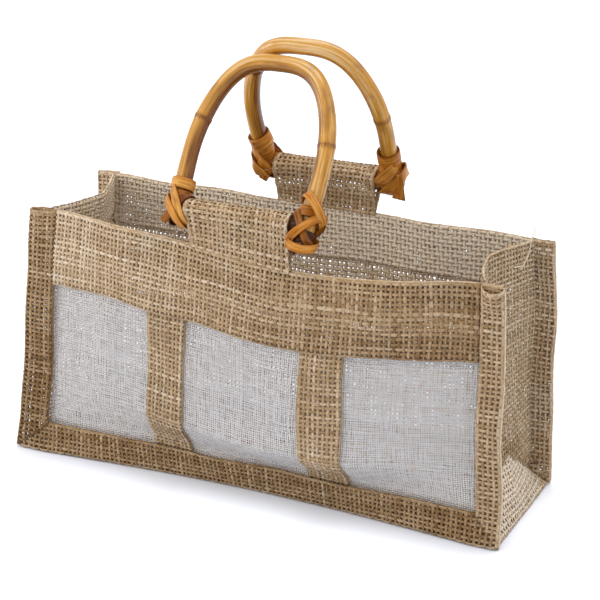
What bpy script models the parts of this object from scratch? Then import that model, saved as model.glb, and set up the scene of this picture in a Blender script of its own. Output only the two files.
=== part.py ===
"""A jute gift bag with muslin windows and two bent cane handles, in metres with +Z up.

The bag is drawn straight and square, each cloth piece in its own place between the flanges,
and then settled: the corners lean, the front swells and its rim sags a little.
The origin is the middle of the flat underside.
"""

import math

import bmesh
import bpy
import numpy as np

# The sewn bag, over the flanges
LENGTH = 0.240
DEPTH = 0.071
HEIGHT = 0.118
FLANGE_WIDTH = 0.012
FLANGE_THICK = 0.0035
BORDER_HEIGHT = 0.015
LIP = 0.002
PLY = 0.0012
CLEARANCE = 0.0003

# The front: a hemmed band, two straps and one window cloth behind them
BAND_HEIGHT = 0.034
FRONT_HEM_HEIGHT = 0.020
FRONT_HEM_THICK = 0.0028
STRAP_WIDTH = 0.020
STRAP_THICK = 0.0009
STRAP_TUCK = 0.006
WINDOW_CLOTH_THICK = 0.0005

# The back: one jute panel with its top folded in
BACK_HEM_HEIGHT = 0.024
BACK_HEM_THICK = 0.0024

# The strip that makes both sides and the base
CREASE = 0.011
CREASE_ROUND_SHARE = 1.3
CREASE_FALL_SHARE = 0.9
FACET_HEIGHT = 0.028
FACET_EDGE_HEIGHT = 0.006
TROUGH_HEIGHT = 0.0095
TROUGH_RUN = 0.014
TROUGH_FLAT_SHARE = 0.62
TROUGH_ROUND_SHARE = 1.5
STRIP_INSET = 0.0008

# How the filled cloth settles
FRONT_LEFT_LEAN = (0.0045, 0.0080)
FRONT_RIGHT_LEAN = (-0.0020, -0.0015)
BACK_LEFT_LEAN = (0.0005, 0.0014)
BACK_RIGHT_LEAN = (-0.0020, -0.0035)
BULGE = 0.0135
BULGE_REACH = 0.004
BULGE_FADE = 0.025
BULGE_START = 0.015
BULGE_FULL = 0.036
BULGE_EASE_SHARE = 0.28
BULGE_SKEW_SHARE = 1.1
BULGE_ROUND_SHARE = 1.0
SAG = 0.0055
SAG_SKEW_SHARE = 1.6
TUCK = 0.007
SPLAY = 0.002
TUCK_FADE = 0.008

# A handle: an arch of bent cane on a straight crossbar
ARCH_HALF_WIDTH = 0.0316
ARCH_SWELL = 0.0014
ARCH_HEIGHT = 0.0695
ARCH_ROUND_SHARE = 3.0
ARCH_FOOT = 0.0042
CANE_RADIUS = 0.0038
BAR_RADIUS = 0.0035
BAR_GAP = 0.0004
FRONT_BAR_SHIFT = -0.0021
FRONT_BAR_OUT = 0.0019
FRONT_BAR_RISE = 0.0138
FRONT_TIP = -0.0020
FRONT_YAW_DEG = -2.5
BACK_BAR_SHIFT = 0.0070
BACK_BAR_OUT = -0.0024
BACK_BAR_RISE = 0.0180
BACK_TIP = 0.0035
BACK_YAW_DEG = 0.7

# A tab: a loop of jute from the rim round a crossbar
TAB_HALF_WIDTH = 0.0233
TAB_PLY = 0.0013
TAB_BAR_GAP = 0.0005
TAB_FOOT_RADIUS = 0.0017
TAB_SEAM = 0.0015

# A lashing: one strip of cane peel wound round a corner of a handle
PEEL_WIDTH = 0.0038
PEEL_THICK = 0.0009
PEEL_CROWN = 0.0002
PEEL_LOW_RADIUS = 0.0046
PEEL_HIGH_RADIUS = 0.0063
COLLAR_TOP = 0.0170
COLLAR_PITCH = 0.0046
COLLAR_TURNS = 1.5
LASHING_TURNS = 3.7
LOW_TURN_RUN = 0.0036
HIGH_TURN_RUN = 0.0018
LOW_TURN_SHIFT = 0.0003

# Fineness of the meshes
BAND_STEPS = 24
PANEL_STEPS = 12
STRAP_STEPS = 3
BORDER_STEPS = 12
SECTION_STEP = 0.0055
ARCH_STEPS = 36
ARCH_BEVEL_RESOLUTION = 3
BAR_SIDES = 16
TAB_STATIONS = 6
TAB_TOP_POINTS = 13
TAB_FOOT_POINTS = 5
PEEL_POINTS_PER_TURN = 18

# Worked out from the sizes above
SEAM_HALF = LENGTH / 2 - FLANGE_WIDTH
FLANGE_HALF = FLANGE_THICK / 2
SOLID_FLANGE_HALF = SEAM_HALF + LIP
GUSSET_X = SOLID_FLANGE_HALF + PLY
BORDER_SOLID_TOP = BORDER_HEIGHT - LIP
TAB_OUTER_RADIUS = BAR_RADIUS + TAB_BAR_GAP + TAB_PLY
FRONT_BAR = (FRONT_BAR_SHIFT, -DEPTH / 2 - FRONT_BAR_OUT, HEIGHT + FRONT_BAR_RISE)
BACK_BAR = (BACK_BAR_SHIFT, DEPTH / 2 + BACK_BAR_OUT, HEIGHT + BACK_BAR_RISE)


def clear_scene():
    for obj in list(bpy.data.objects):
        bpy.data.objects.remove(obj, do_unlink=True)


def material(name, colour, roughness):
    """A matt Principled material, colour as linear red, green and blue."""
    made = bpy.data.materials.new(name)
    made.use_nodes = True
    shader = made.node_tree.nodes["Principled BSDF"]
    shader.inputs["Base Color"].default_value = (*colour, 1.0)
    shader.inputs["Roughness"].default_value = roughness
    shader.inputs["Metallic"].default_value = 0.0
    return made


def mesh_object(name, points, faces, finish, smooth=False):
    """A closed mesh object with its faces turned outwards."""
    mesh = bpy.data.meshes.new(name)
    mesh.from_pydata([tuple(map(float, point)) for point in points], [], faces)
    shape = bmesh.new()
    shape.from_mesh(mesh)
    bmesh.ops.recalc_face_normals(shape, faces=shape.faces)
    shape.to_mesh(mesh)
    shape.free()
    mesh.materials.append(finish)
    if smooth:
        mesh.shade_smooth()
    obj = bpy.data.objects.new(name, mesh)
    bpy.context.scene.collection.objects.link(obj)
    return obj


def eased(value, start, end):
    """From 0 to 1 with soft ends, as a value goes from start to end."""
    share = np.clip((value - start) / (end - start), 0, 1)
    return share * share * (3 - 2 * share)


def settled(points):
    """Points of the straight bag, moved to where the standing bag holds them."""
    x, y, z = np.array(points, float).T
    along = np.clip(x / (2 * SEAM_HALF) + 0.5, 0, 1)
    deep = np.clip(y / DEPTH + 0.5, 0, 1)
    up = z / HEIGHT
    for share, lean in (
        ((1 - along) * (1 - deep), FRONT_LEFT_LEAN),
        (along * (1 - deep), FRONT_RIGHT_LEAN),
        ((1 - along) * deep, BACK_LEFT_LEAN),
        (along * deep, BACK_RIGHT_LEAN),
    ):
        x = x + share * up * lean[0]
        y = y + share * up * lean[1]
    behind = np.array(points, float)[:, 1] + DEPTH / 2
    front = np.clip(1 - (behind - BULGE_REACH) / BULGE_FADE, 0, 1)
    rise = eased(z, BULGE_START, BULGE_FULL)
    ease = 1 - BULGE_EASE_SHARE * np.clip((z - BULGE_FULL) / (HEIGHT - BULGE_FULL), 0, 1)
    swell = np.sin(math.pi * along**BULGE_SKEW_SHARE) ** BULGE_ROUND_SHARE
    dip = np.sin(math.pi * along**SAG_SKEW_SHARE) ** 2
    low = np.clip(1 - z / BORDER_HEIGHT, 0, 1) * np.clip(1 - (behind - BULGE_REACH) / TUCK_FADE, 0, 1)
    y = y - BULGE * swell * rise * ease * front + (TUCK * np.sin(math.pi * along) - SPLAY) * low
    z = z - SAG * dip * rise * front
    return np.stack([x, y, z], axis=1)


def subdivided(section):
    """The closed outline with points added on its long edges."""
    points = []
    for start, end in zip(section, section[1:] + section[:1]):
        start, end = np.array(start), np.array(end)
        pieces = max(1, round(float(np.linalg.norm(end - start)) / SECTION_STEP))
        points += [start + (end - start) * k / pieces for k in range(pieces)]
    return np.array(points)


def prism(name, section, place, steps, finish):
    """Carries a closed outline from place(section, 0) to place(section, 1) and closes both ends."""
    outline = subdivided(section)
    count = len(outline)
    rings = [place(outline, step / steps) for step in range(steps + 1)]
    faces = [list(range(count)), [steps * count + k for k in range(count)][::-1]]
    for step in range(steps):
        for k in range(count):
            a = step * count + k
            b = step * count + (k + 1) % count
            faces.append((a, b, b + count, a + count))
    return mesh_object(name, settled(np.concatenate(rings)), faces, finish)


def across(half):
    """Places an outline of depth and height at a share of the way from -half to half along X."""

    def place(outline, share):
        x = np.full(len(outline), half * (2 * share - 1))
        return np.stack([x, outline[:, 0], outline[:, 1]], axis=1)

    return place


def depth(side, offset):
    """Y at an offset inwards from the flange's middle: side is -1 for the front and 1 for the back."""
    return side * (DEPTH / 2 - offset)


def box_section(side, offsets, heights):
    """A plain rectangle of depth and height."""
    (low, high), (bottom, top) = offsets, heights
    return [
        (depth(side, low), bottom),
        (depth(side, high), bottom),
        (depth(side, high), top),
        (depth(side, low), top),
    ]


def front_band(finish):
    """One ply with a thicker hem along the rim."""
    outer = -FLANGE_HALF
    bottom = HEIGHT - BAND_HEIGHT
    hem = HEIGHT - FRONT_HEM_HEIGHT
    section = [
        (depth(-1, outer), bottom),
        (depth(-1, outer + PLY), bottom),
        (depth(-1, outer + PLY), hem),
        (depth(-1, outer + FRONT_HEM_THICK), hem),
        (depth(-1, outer + FRONT_HEM_THICK), HEIGHT),
        (depth(-1, outer), HEIGHT),
    ]
    return prism("front_band", section, across(SEAM_HALF - CLEARANCE), BAND_STEPS, finish)


def window_width():
    return (2 * SEAM_HALF - 2 * STRAP_WIDTH) / 3


def strap(name, side, finish):
    """A folded strap between two windows, its ends behind the band and the bottom border."""
    middle = side * (window_width() + STRAP_WIDTH) / 2
    offset = -FLANGE_HALF + PLY + CLEARANCE
    heights = (BORDER_SOLID_TOP + CLEARANCE, HEIGHT - BAND_HEIGHT + STRAP_TUCK)
    section = box_section(-1, (offset, offset + STRAP_THICK), heights)

    def place(outline, share):
        x = np.full(len(outline), middle + STRAP_WIDTH * (share - 0.5))
        return np.stack([x, outline[:, 0], outline[:, 1]], axis=1)

    return prism(name, section, place, STRAP_STEPS, finish)


def window_cloth(finish):
    """The one thin sheet behind the straps, under the lips of the borders."""
    offset = -FLANGE_HALF + PLY + STRAP_THICK + 2 * CLEARANCE
    heights = (BORDER_SOLID_TOP + CLEARANCE, HEIGHT - FRONT_HEM_HEIGHT - CLEARANCE)
    section = box_section(-1, (offset, offset + WINDOW_CLOTH_THICK), heights)
    return prism("window_cloth", section, across(SOLID_FLANGE_HALF - CLEARANCE), BAND_STEPS, finish)


def back_panel(finish):
    """The plain back, its top folded in as a hem."""
    outer = -FLANGE_HALF + PLY + CLEARANCE
    bottom = BORDER_SOLID_TOP + CLEARANCE
    hem = HEIGHT - BACK_HEM_HEIGHT
    section = [
        (depth(1, outer), bottom),
        (depth(1, outer + PLY), bottom),
        (depth(1, outer + PLY), hem),
        (depth(1, outer + BACK_HEM_THICK), hem),
        (depth(1, outer + BACK_HEM_THICK), HEIGHT),
        (depth(1, outer), HEIGHT),
    ]
    return prism("back_panel", section, across(SOLID_FLANGE_HALF - CLEARANCE), PANEL_STEPS, finish)


def lipped_section(inner, solid, outer, side):
    """A border's outline: across its width, then depth. Thick flange outside, thin lip inside."""
    thick = (depth(side, -FLANGE_HALF), depth(side, FLANGE_HALF))
    lip = depth(side, -FLANGE_HALF + PLY)
    return [
        (inner, thick[0]),
        (inner, lip),
        (solid, lip),
        (solid, thick[1]),
        (outer, thick[1]),
        (outer, thick[0]),
    ]


def side_border(name, end, side, finish):
    """A folded border up one end of a face, mitred at the floor. end is -1 at the left, 1 at the right."""
    section = lipped_section(SEAM_HALF, SOLID_FLANGE_HALF, LENGTH / 2, side)
    slope = BORDER_HEIGHT / FLANGE_WIDTH

    def place(outline, share):
        floor = (LENGTH / 2 - outline[:, 0]) * slope + 2 * CLEARANCE
        z = floor + (HEIGHT - floor) * share
        return np.stack([end * outline[:, 0], outline[:, 1], z], axis=1)

    return prism(name, section, place, BORDER_STEPS, finish)


def bottom_border(name, side, finish):
    """A folded border along the foot of a face, mitred at both ends."""
    section = lipped_section(BORDER_HEIGHT, BORDER_SOLID_TOP, 0, side)
    slope = FLANGE_WIDTH / BORDER_HEIGHT

    def place(outline, share):
        half = LENGTH / 2 - outline[:, 0] * slope - CLEARANCE
        return np.stack([half * (2 * share - 1), outline[:, 1], outline[:, 0]], axis=1)

    return prism(name, section, place, BAND_STEPS, finish)


def strip_side_x(z, w):
    """How far out the strip's outer face lies at one height and depth share of its side."""
    fall = np.clip((z - FACET_HEIGHT) / (HEIGHT - FACET_HEIGHT), 0, 1)
    crease = CREASE * (1 - np.abs(w) ** CREASE_ROUND_SHARE) * fall**CREASE_FALL_SHARE
    facet = (FACET_HEIGHT - FACET_EDGE_HEIGHT) * (1 - np.abs(w)) + FACET_EDGE_HEIGHT
    flare = (LENGTH / 2 - STRIP_INSET - GUSSET_X) * np.clip(1 - z / facet, 0, 1)
    return GUSSET_X - crease + flare


def strip_base_z(x, w):
    """How high the strip's underside lies: flat on the floor, rising to the seams of the long sides."""
    edge = TROUGH_HEIGHT * np.clip((LENGTH / 2 - STRIP_INSET - np.abs(x)) / TROUGH_RUN, 0, 1)
    climb = np.clip((np.abs(w) - TROUGH_FLAT_SHARE) / (1 - TROUGH_FLAT_SHARE), 0, 1)
    return edge * climb**TROUGH_ROUND_SHARE


def gusset_strip(finish):
    """One strip of jute: down the left side, along the base and up the right side."""
    half_width_shares = np.array([0.12, 0.35, TROUGH_FLAT_SHARE, 0.74, 0.86, 1])
    width_shares = np.concatenate([-half_width_shares[::-1], half_width_shares])
    height_shares = np.array([1, 0.84, 0.67, 0.5, 0.38, 0.3, 0.24, 0.19, 0.14, 0.1, 0.065, 0.04, 0.02])
    base_shares = np.array([1, 0.975, 0.945, 0.91, 0.88, 0.8, 0.6, 0.3, 0])
    half_depth = DEPTH / 2 - FLANGE_HALF - CLEARANCE
    reach = LENGTH / 2 - STRIP_INSET
    outer = []
    inner = []
    y = width_shares * half_depth
    for share in height_shares:
        z = np.full(len(y), share * HEIGHT)
        x = strip_side_x(z, width_shares)
        outer.append(np.stack([x, y, z], axis=1))
        inner.append(np.stack([x - PLY, y, z], axis=1))
    for share in base_shares:
        x = np.full(len(y), share * reach)
        z = strip_base_z(x, width_shares)
        outer.append(np.stack([x, y, z], axis=1))
        inner.append(np.stack([x - (PLY if share == 1 else 0), y, z + PLY], axis=1))
    flip = np.array([-1, 1, 1])
    outer += [row * flip for row in outer[-2::-1]]
    inner += [row * flip for row in inner[-2::-1]]
    columns = len(y)
    rows = len(outer)
    points = settled(np.concatenate(outer + inner))
    points[:, 2] = np.maximum(points[:, 2], 0)
    back = rows * columns
    faces = []
    for row in range(rows - 1):
        for column in range(columns - 1):
            a = row * columns + column
            quad = (a, a + 1, a + 1 + columns, a + columns)
            faces.append(quad)
            faces.append(tuple(back + k for k in quad[::-1]))
    rim = [column for column in range(columns)]
    rim += [row * columns + columns - 1 for row in range(1, rows)]
    rim += [(rows - 1) * columns + column for column in range(columns - 2, -1, -1)]
    rim += [row * columns for row in range(rows - 2, 0, -1)]
    for a, b in zip(rim, rim[1:] + rim[:1]):
        faces.append((a, b, b + back, a + back))
    return mesh_object("gusset_strip", points, faces, finish)


def arch_half_width(height):
    """Half the arch's width between its middles, at heights above the crossbar."""
    share = np.clip(np.asarray(height) / ARCH_HEIGHT, 0, 1)
    swell = ARCH_HALF_WIDTH + ARCH_SWELL * np.sin(math.pi * share) ** 2
    return swell * (1 - share**ARCH_ROUND_SHARE) ** (1 / ARCH_ROUND_SHARE)


def arch_line():
    """The arch's middle line in its own plane, from foot to foot."""
    angle = np.linspace(0, math.pi, ARCH_STEPS + 1)
    height = ARCH_HEIGHT * np.sin(angle) ** (2 / ARCH_ROUND_SHARE)
    x = -np.sign(np.cos(angle)) * arch_half_width(height)
    line = np.stack([x, np.zeros(len(x)), height], axis=1)
    foot = np.array([ARCH_HALF_WIDTH, 0, -ARCH_FOOT])
    return np.concatenate([[foot * (-1, 1, 1)], line, [foot]])


def arch(name, parent, finish):
    curve = bpy.data.curves.new(name, "CURVE")
    curve.dimensions = "3D"
    curve.bevel_depth = CANE_RADIUS
    curve.bevel_resolution = ARCH_BEVEL_RESOLUTION
    curve.use_fill_caps = True
    line = arch_line()
    spline = curve.splines.new("POLY")
    spline.points.add(len(line) - 1)
    spline.points.foreach_set("co", np.concatenate([line, np.ones((len(line), 1))], axis=1).ravel())
    curve.materials.append(finish)
    obj = bpy.data.objects.new(name, curve)
    bpy.context.scene.collection.objects.link(obj)
    obj.parent = parent
    return obj


def crossbar(name, parent, finish):
    """The straight cane between the arch's legs, turned about the handle's axis."""
    half = ARCH_HALF_WIDTH - CANE_RADIUS - BAR_GAP
    angle = 2 * math.pi * np.arange(BAR_SIDES) / BAR_SIDES
    ring = np.stack([np.zeros(BAR_SIDES), BAR_RADIUS * np.cos(angle), BAR_RADIUS * np.sin(angle)], axis=1)
    points = np.concatenate([ring - (half, 0, 0), ring + (half, 0, 0)])
    faces = [list(range(BAR_SIDES)), list(range(2 * BAR_SIDES - 1, BAR_SIDES - 1, -1))]
    for k in range(BAR_SIDES):
        after = (k + 1) % BAR_SIDES
        faces.append((k, after, BAR_SIDES + after, BAR_SIDES + k))
    obj = mesh_object(name, points, faces, finish)
    obj.parent = parent
    return obj


def lashing_line():
    """Middle line and outward direction of the peel: down a collar on the leg, once over the corner
    from upper outside to lower inside, then once the other way on top of that turn."""
    turn = np.linspace(0, LASHING_TURNS, round(LASHING_TURNS * PEEL_POINTS_PER_TURN) + 1)
    angle = 2 * math.pi * turn
    to_low = eased(turn, COLLAR_TURNS, COLLAR_TURNS + 0.5)
    to_high = eased(turn, COLLAR_TURNS + 1, COLLAR_TURNS + 1.5)
    tilt = math.pi / 4 * to_low + math.pi / 2 * to_high
    collar = COLLAR_TOP - COLLAR_PITCH * np.clip(turn, 0, COLLAR_TURNS)
    radius = PEEL_LOW_RADIUS + (PEEL_HIGH_RADIUS - PEEL_LOW_RADIUS) * to_high
    run = LOW_TURN_RUN * to_low + (HIGH_TURN_RUN - LOW_TURN_RUN) * to_high
    shift = LOW_TURN_SHIFT * to_low * (1 - to_high)
    middle_x = (arch_half_width(collar) - ARCH_HALF_WIDTH) * (1 - to_low) + shift
    middle_z = collar * (1 - to_low) - shift
    along = run * np.clip(2 * np.cos(angle), -1, 1) + radius * np.cos(angle)
    line = np.stack(
        [middle_x + along * np.cos(tilt), -radius * np.sin(angle), middle_z + along * np.sin(tilt)], axis=1
    )
    outward = np.stack([np.cos(angle) * np.cos(tilt), -np.sin(angle), np.cos(angle) * np.sin(tilt)], axis=1)
    return line, outward


def lashing_points():
    """Rings of the peel's outline along its middle line."""
    line, outward = lashing_line()
    forward = np.gradient(line, axis=0)
    forward /= np.linalg.norm(forward, axis=1)[:, None]
    outward = outward - forward * np.sum(outward * forward, axis=1)[:, None]
    outward /= np.linalg.norm(outward, axis=1)[:, None]
    sideways = np.cross(forward, outward)
    half, thick = PEEL_WIDTH / 2, PEEL_THICK / 2
    section = ((-half, -thick), (0, -thick), (half, -thick), (half, thick), (0, thick + PEEL_CROWN), (-half, thick))
    return np.stack([line + sideways * a + outward * b for a, b in section], axis=1)


def least_gap(rings):
    """The least distance between points of the winding that lie over half a turn apart."""
    apart = PEEL_POINTS_PER_TURN // 2
    least = math.inf
    for k in range(len(rings) - apart):
        away = rings[k + apart :].reshape(-1, 1, 3) - rings[k].reshape(1, -1, 3)
        least = min(least, float(np.linalg.norm(away, axis=2).min()))
    return least


def lashing(name, end, parent, finish):
    """The peel wound round one corner of a handle. end is -1 at the left, 1 at the right."""
    rings = lashing_points()
    points = rings.reshape(-1, 3) + (ARCH_HALF_WIDTH, 0, 0)
    points[:, 0] *= end
    count = rings.shape[1]
    last = len(points) - count
    faces = [list(range(count)), [last + k for k in range(count)][::-1]]
    for ring in range(len(rings) - 1):
        for k in range(count):
            a = ring * count + k
            b = ring * count + (k + 1) % count
            faces.append((a, b, b + count, a + count))
    obj = mesh_object(name, points, faces, finish)
    obj.parent = parent
    return obj


def empty(name, place, lean=0.0, yaw_deg=0.0):
    """A pivot: its X axis is the joint's axis."""
    obj = bpy.data.objects.new(name, None)
    bpy.context.scene.collection.objects.link(obj)
    obj.location = place
    obj.rotation_euler = (lean, 0, math.radians(yaw_deg))
    return obj


def teardrop(reach, top_radius, foot_radius, foot):
    """The outline round two circles on one line, as points of side and height above the lower end."""
    tilt = math.asin((top_radius - foot_radius) / (reach - foot))
    top = np.linspace(-tilt, math.pi + tilt, TAB_TOP_POINTS)
    low = np.linspace(math.pi + tilt, 2 * math.pi - tilt, TAB_FOOT_POINTS + 2)[1:-1]
    side = np.concatenate([top_radius * np.cos(top), foot_radius * np.cos(low)])
    height = np.concatenate([reach + top_radius * np.sin(top), foot + foot_radius * np.sin(low)])
    return side, height


def bar_direction(yaw_deg):
    return np.array([math.cos(math.radians(yaw_deg)), math.sin(math.radians(yaw_deg)), 0])


def rim_line(side, bar):
    """The two ends of the line that a tab turns about, just above the settled rim."""
    thick = FRONT_HEM_THICK if side < 0 else BACK_HEM_THICK
    outer = -FLANGE_HALF if side < 0 else -FLANGE_HALF + PLY + CLEARANCE
    ends = [bar[0] + end * TAB_HALF_WIDTH for end in (-1, 1)]
    rim = settled([(x, depth(side, outer + thick / 2), HEIGHT) for x in ends])
    return rim + (0, 0, TAB_FOOT_RADIUS + CLEARANCE)


def tab(name, side, bar, yaw_deg, finish):
    """A loop of jute lofted from the rim's line to the crossbar, open right through for the crossbar."""
    ends = rim_line(side, bar)
    pivot = empty(name + "_pivot", ends.mean(axis=0))
    rings = {"outer": [], "inner": []}
    for share in np.linspace(0, 1, TAB_STATIONS):
        foot = ends[0] + (ends[1] - ends[0]) * share
        top = np.array(bar) + bar_direction(yaw_deg) * TAB_HALF_WIDTH * (2 * share - 1)
        rise = (top - foot) * (0, 1, 1)
        reach = float(np.linalg.norm(rise))
        rise /= reach
        sideways = np.array([0, rise[2], -rise[1]])
        hollow = (TAB_OUTER_RADIUS - TAB_PLY, TAB_FOOT_RADIUS - TAB_PLY, TAB_SEAM)
        for ring, radii in (("outer", (TAB_OUTER_RADIUS, TAB_FOOT_RADIUS, 0)), ("inner", hollow)):
            across_share, height = teardrop(reach, *radii)
            slant = (top - foot) * (1, 0, 0) * (height / reach)[:, None]
            rings[ring].append(foot + slant + sideways * across_share[:, None] + rise * height[:, None])
    points = np.concatenate(rings["outer"] + rings["inner"]) - ends.mean(axis=0)
    count = len(rings["outer"][0])
    inner = TAB_STATIONS * count
    faces = []
    for k in range(count):
        after = (k + 1) % count
        for station in range(TAB_STATIONS - 1):
            a, b = station * count + k, station * count + after
            faces.append((a, b, b + count, a + count))
            faces.append((inner + a + count, inner + b + count, inner + b, inner + a))
        last = (TAB_STATIONS - 1) * count
        faces.append((k, after, inner + after, inner + k))
        faces.append((last + k, inner + last + k, inner + last + after, last + after))
    obj = mesh_object(name, points, faces, finish)
    obj.parent = pivot
    return obj


def handle(name, bar, tip, yaw_deg, cane, peel):
    """Arch, crossbar and two lashings on one pivot, leaning until the arch's top is at the tip's depth."""
    lean = math.asin((bar[1] - tip) / ARCH_HEIGHT)
    pivot = empty(name + "_handle_pivot", bar, lean, yaw_deg)
    arch(name + "_arch", pivot, cane)
    crossbar(name + "_crossbar", pivot, cane)
    lashing(name + "_left_lashing", -1, pivot, peel)
    lashing(name + "_right_lashing", 1, pivot, peel)


def main():
    clear_scene()
    jute = material("jute", (0.42, 0.30, 0.18), 0.9)
    muslin = material("cotton muslin", (0.62, 0.60, 0.58), 0.85)
    cane = material("cane", (0.62, 0.36, 0.13), 0.4)
    peel = material("cane peel", (0.50, 0.20, 0.05), 0.45)
    front_band(jute)
    window_cloth(muslin)
    strap("left_strap", -1, jute)
    strap("right_strap", 1, jute)
    back_panel(jute)
    for face, side in (("front", -1), ("back", 1)):
        side_border(face + "_left_border", -1, side, jute)
        side_border(face + "_right_border", 1, side, jute)
        bottom_border(face + "_bottom_border", side, jute)
    gusset_strip(jute)
    tab("front_tab", -1, FRONT_BAR, FRONT_YAW_DEG, jute)
    tab("back_tab", 1, BACK_BAR, BACK_YAW_DEG, jute)
    handle("front", FRONT_BAR, FRONT_TIP, FRONT_YAW_DEG, cane, peel)
    handle("back", BACK_BAR, BACK_TIP, BACK_YAW_DEG, cane, peel)
    print("least gap of a lashing to itself: %.2f mm" % (1000 * least_gap(lashing_points())))


main()
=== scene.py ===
"""The looks of a jute gift bag with muslin windows and two bent cane handles, in metres with +Z up.

Every cloth is really woven: separate yarns go over and under each other on a curved surface,
which is a function of two lengths measured on the flat cloth. The bag is drawn straight and square
and then settled, by the same formulas as its solids, so each piece lies where its solid lies.
"""

import math

import bpy
import numpy as np
from mathutils import Matrix

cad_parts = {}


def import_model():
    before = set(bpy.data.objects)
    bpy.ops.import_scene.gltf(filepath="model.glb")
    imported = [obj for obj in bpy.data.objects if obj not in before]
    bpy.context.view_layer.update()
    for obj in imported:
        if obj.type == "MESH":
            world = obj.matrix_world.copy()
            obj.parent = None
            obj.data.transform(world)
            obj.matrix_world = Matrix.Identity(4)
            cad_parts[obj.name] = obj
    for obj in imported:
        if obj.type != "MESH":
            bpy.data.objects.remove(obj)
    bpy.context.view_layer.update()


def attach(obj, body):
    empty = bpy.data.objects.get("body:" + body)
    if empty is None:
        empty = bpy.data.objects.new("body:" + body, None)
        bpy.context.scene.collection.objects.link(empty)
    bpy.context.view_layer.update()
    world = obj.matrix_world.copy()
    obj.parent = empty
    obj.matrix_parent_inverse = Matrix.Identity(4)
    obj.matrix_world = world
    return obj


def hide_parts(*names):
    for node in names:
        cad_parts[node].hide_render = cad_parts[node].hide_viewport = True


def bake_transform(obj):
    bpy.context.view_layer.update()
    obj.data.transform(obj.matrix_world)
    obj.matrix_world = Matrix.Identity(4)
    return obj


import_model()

# The camera, from the photograph's vanishing lines
CAMERA_PLACE = (0.33417, -0.69510, 0.36335)
CAMERA_RIGHT = (0.90434, 0.42674, 0.00813)
CAMERA_DOWN = (0.15312, -0.30659, -0.93945)
CAMERA_AHEAD = (-0.39841, 0.85082, -0.3426)
LENS_MM = 108.32
SENSOR_MM = 36

# The sewn bag, as in its solids
LENGTH = 0.240
DEPTH = 0.071
HEIGHT = 0.118
FLANGE_WIDTH = 0.012
FLANGE_THICK = 0.0035
BORDER_HEIGHT = 0.015
PLY = 0.0012
CLEARANCE = 0.0003
BAND_HEIGHT = 0.034
FRONT_HEM_HEIGHT = 0.020
FRONT_HEM_THICK = 0.0028
STRAP_WIDTH = 0.020
BACK_HEM_HEIGHT = 0.024
BACK_HEM_THICK = 0.0024
CREASE = 0.011
CREASE_ROUND_SHARE = 1.3
CREASE_FALL_SHARE = 0.9
FACET_HEIGHT = 0.028
FACET_EDGE_HEIGHT = 0.006
TROUGH_HEIGHT = 0.0095
TROUGH_RUN = 0.014
TROUGH_FLAT_SHARE = 0.62
TROUGH_ROUND_SHARE = 1.5
STRIP_INSET = 0.0008
LIP = 0.002

# How the filled cloth settles, as in its solids
FRONT_LEFT_LEAN = (0.0045, 0.0080)
FRONT_RIGHT_LEAN = (-0.0020, -0.0015)
BACK_LEFT_LEAN = (0.0005, 0.0014)
BACK_RIGHT_LEAN = (-0.0020, -0.0035)
BULGE = 0.0135
BULGE_REACH = 0.004
BULGE_FADE = 0.025
BULGE_START = 0.015
BULGE_FULL = 0.036
BULGE_EASE_SHARE = 0.28
BULGE_SKEW_SHARE = 1.1
SAG = 0.0055
SAG_SKEW_SHARE = 1.6
TUCK = 0.007
SPLAY = 0.002
TUCK_FADE = 0.008

# The handles and tabs, as in their solids
ARCH_HALF_WIDTH = 0.0316
ARCH_SWELL = 0.0014
ARCH_HEIGHT = 0.0695
ARCH_ROUND_SHARE = 3.0
ARCH_FOOT = 0.0042
CANE_RADIUS = 0.0038
BAR_RADIUS = 0.0035
BAR_PLACES = {"front": (-0.0021, -0.0374, 0.1318), "back": (0.0070, 0.0331, 0.1360)}
TIP_DEPTHS = {"front": -0.0020, "back": 0.0035}
YAWS_DEG = {"front": -2.5, "back": 0.7}
TAB_HALF_WIDTH = 0.0233
TAB_TOP_RADIUS = 0.0047
TAB_FOOT_RADIUS = 0.0017

# Worked out from the sizes above
SEAM_HALF = LENGTH / 2 - FLANGE_WIDTH
FLANGE_HALF = FLANGE_THICK / 2
GUSSET_X = SEAM_HALF + LIP + PLY
HALF_PLY = PLY / 2
WINDOW_WIDTH = (2 * SEAM_HALF - 2 * STRAP_WIDTH) / 3
MM = 0.001
SIDES = {"front": -1, "back": 1}
ENDS = {"left": -1, "right": 1}


# Shapes of the settled bag


def eased(value, start, end):
    """From 0 to 1 with soft ends, as a value goes from start to end: s squared times (3 - 2s)."""
    share = np.clip((value - start) / (end - start), 0, 1)
    return share * share * (3 - 2 * share)


def stacked(*columns):
    """Coordinates side by side, as rows of points."""
    return np.stack(columns, axis=1)


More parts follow.
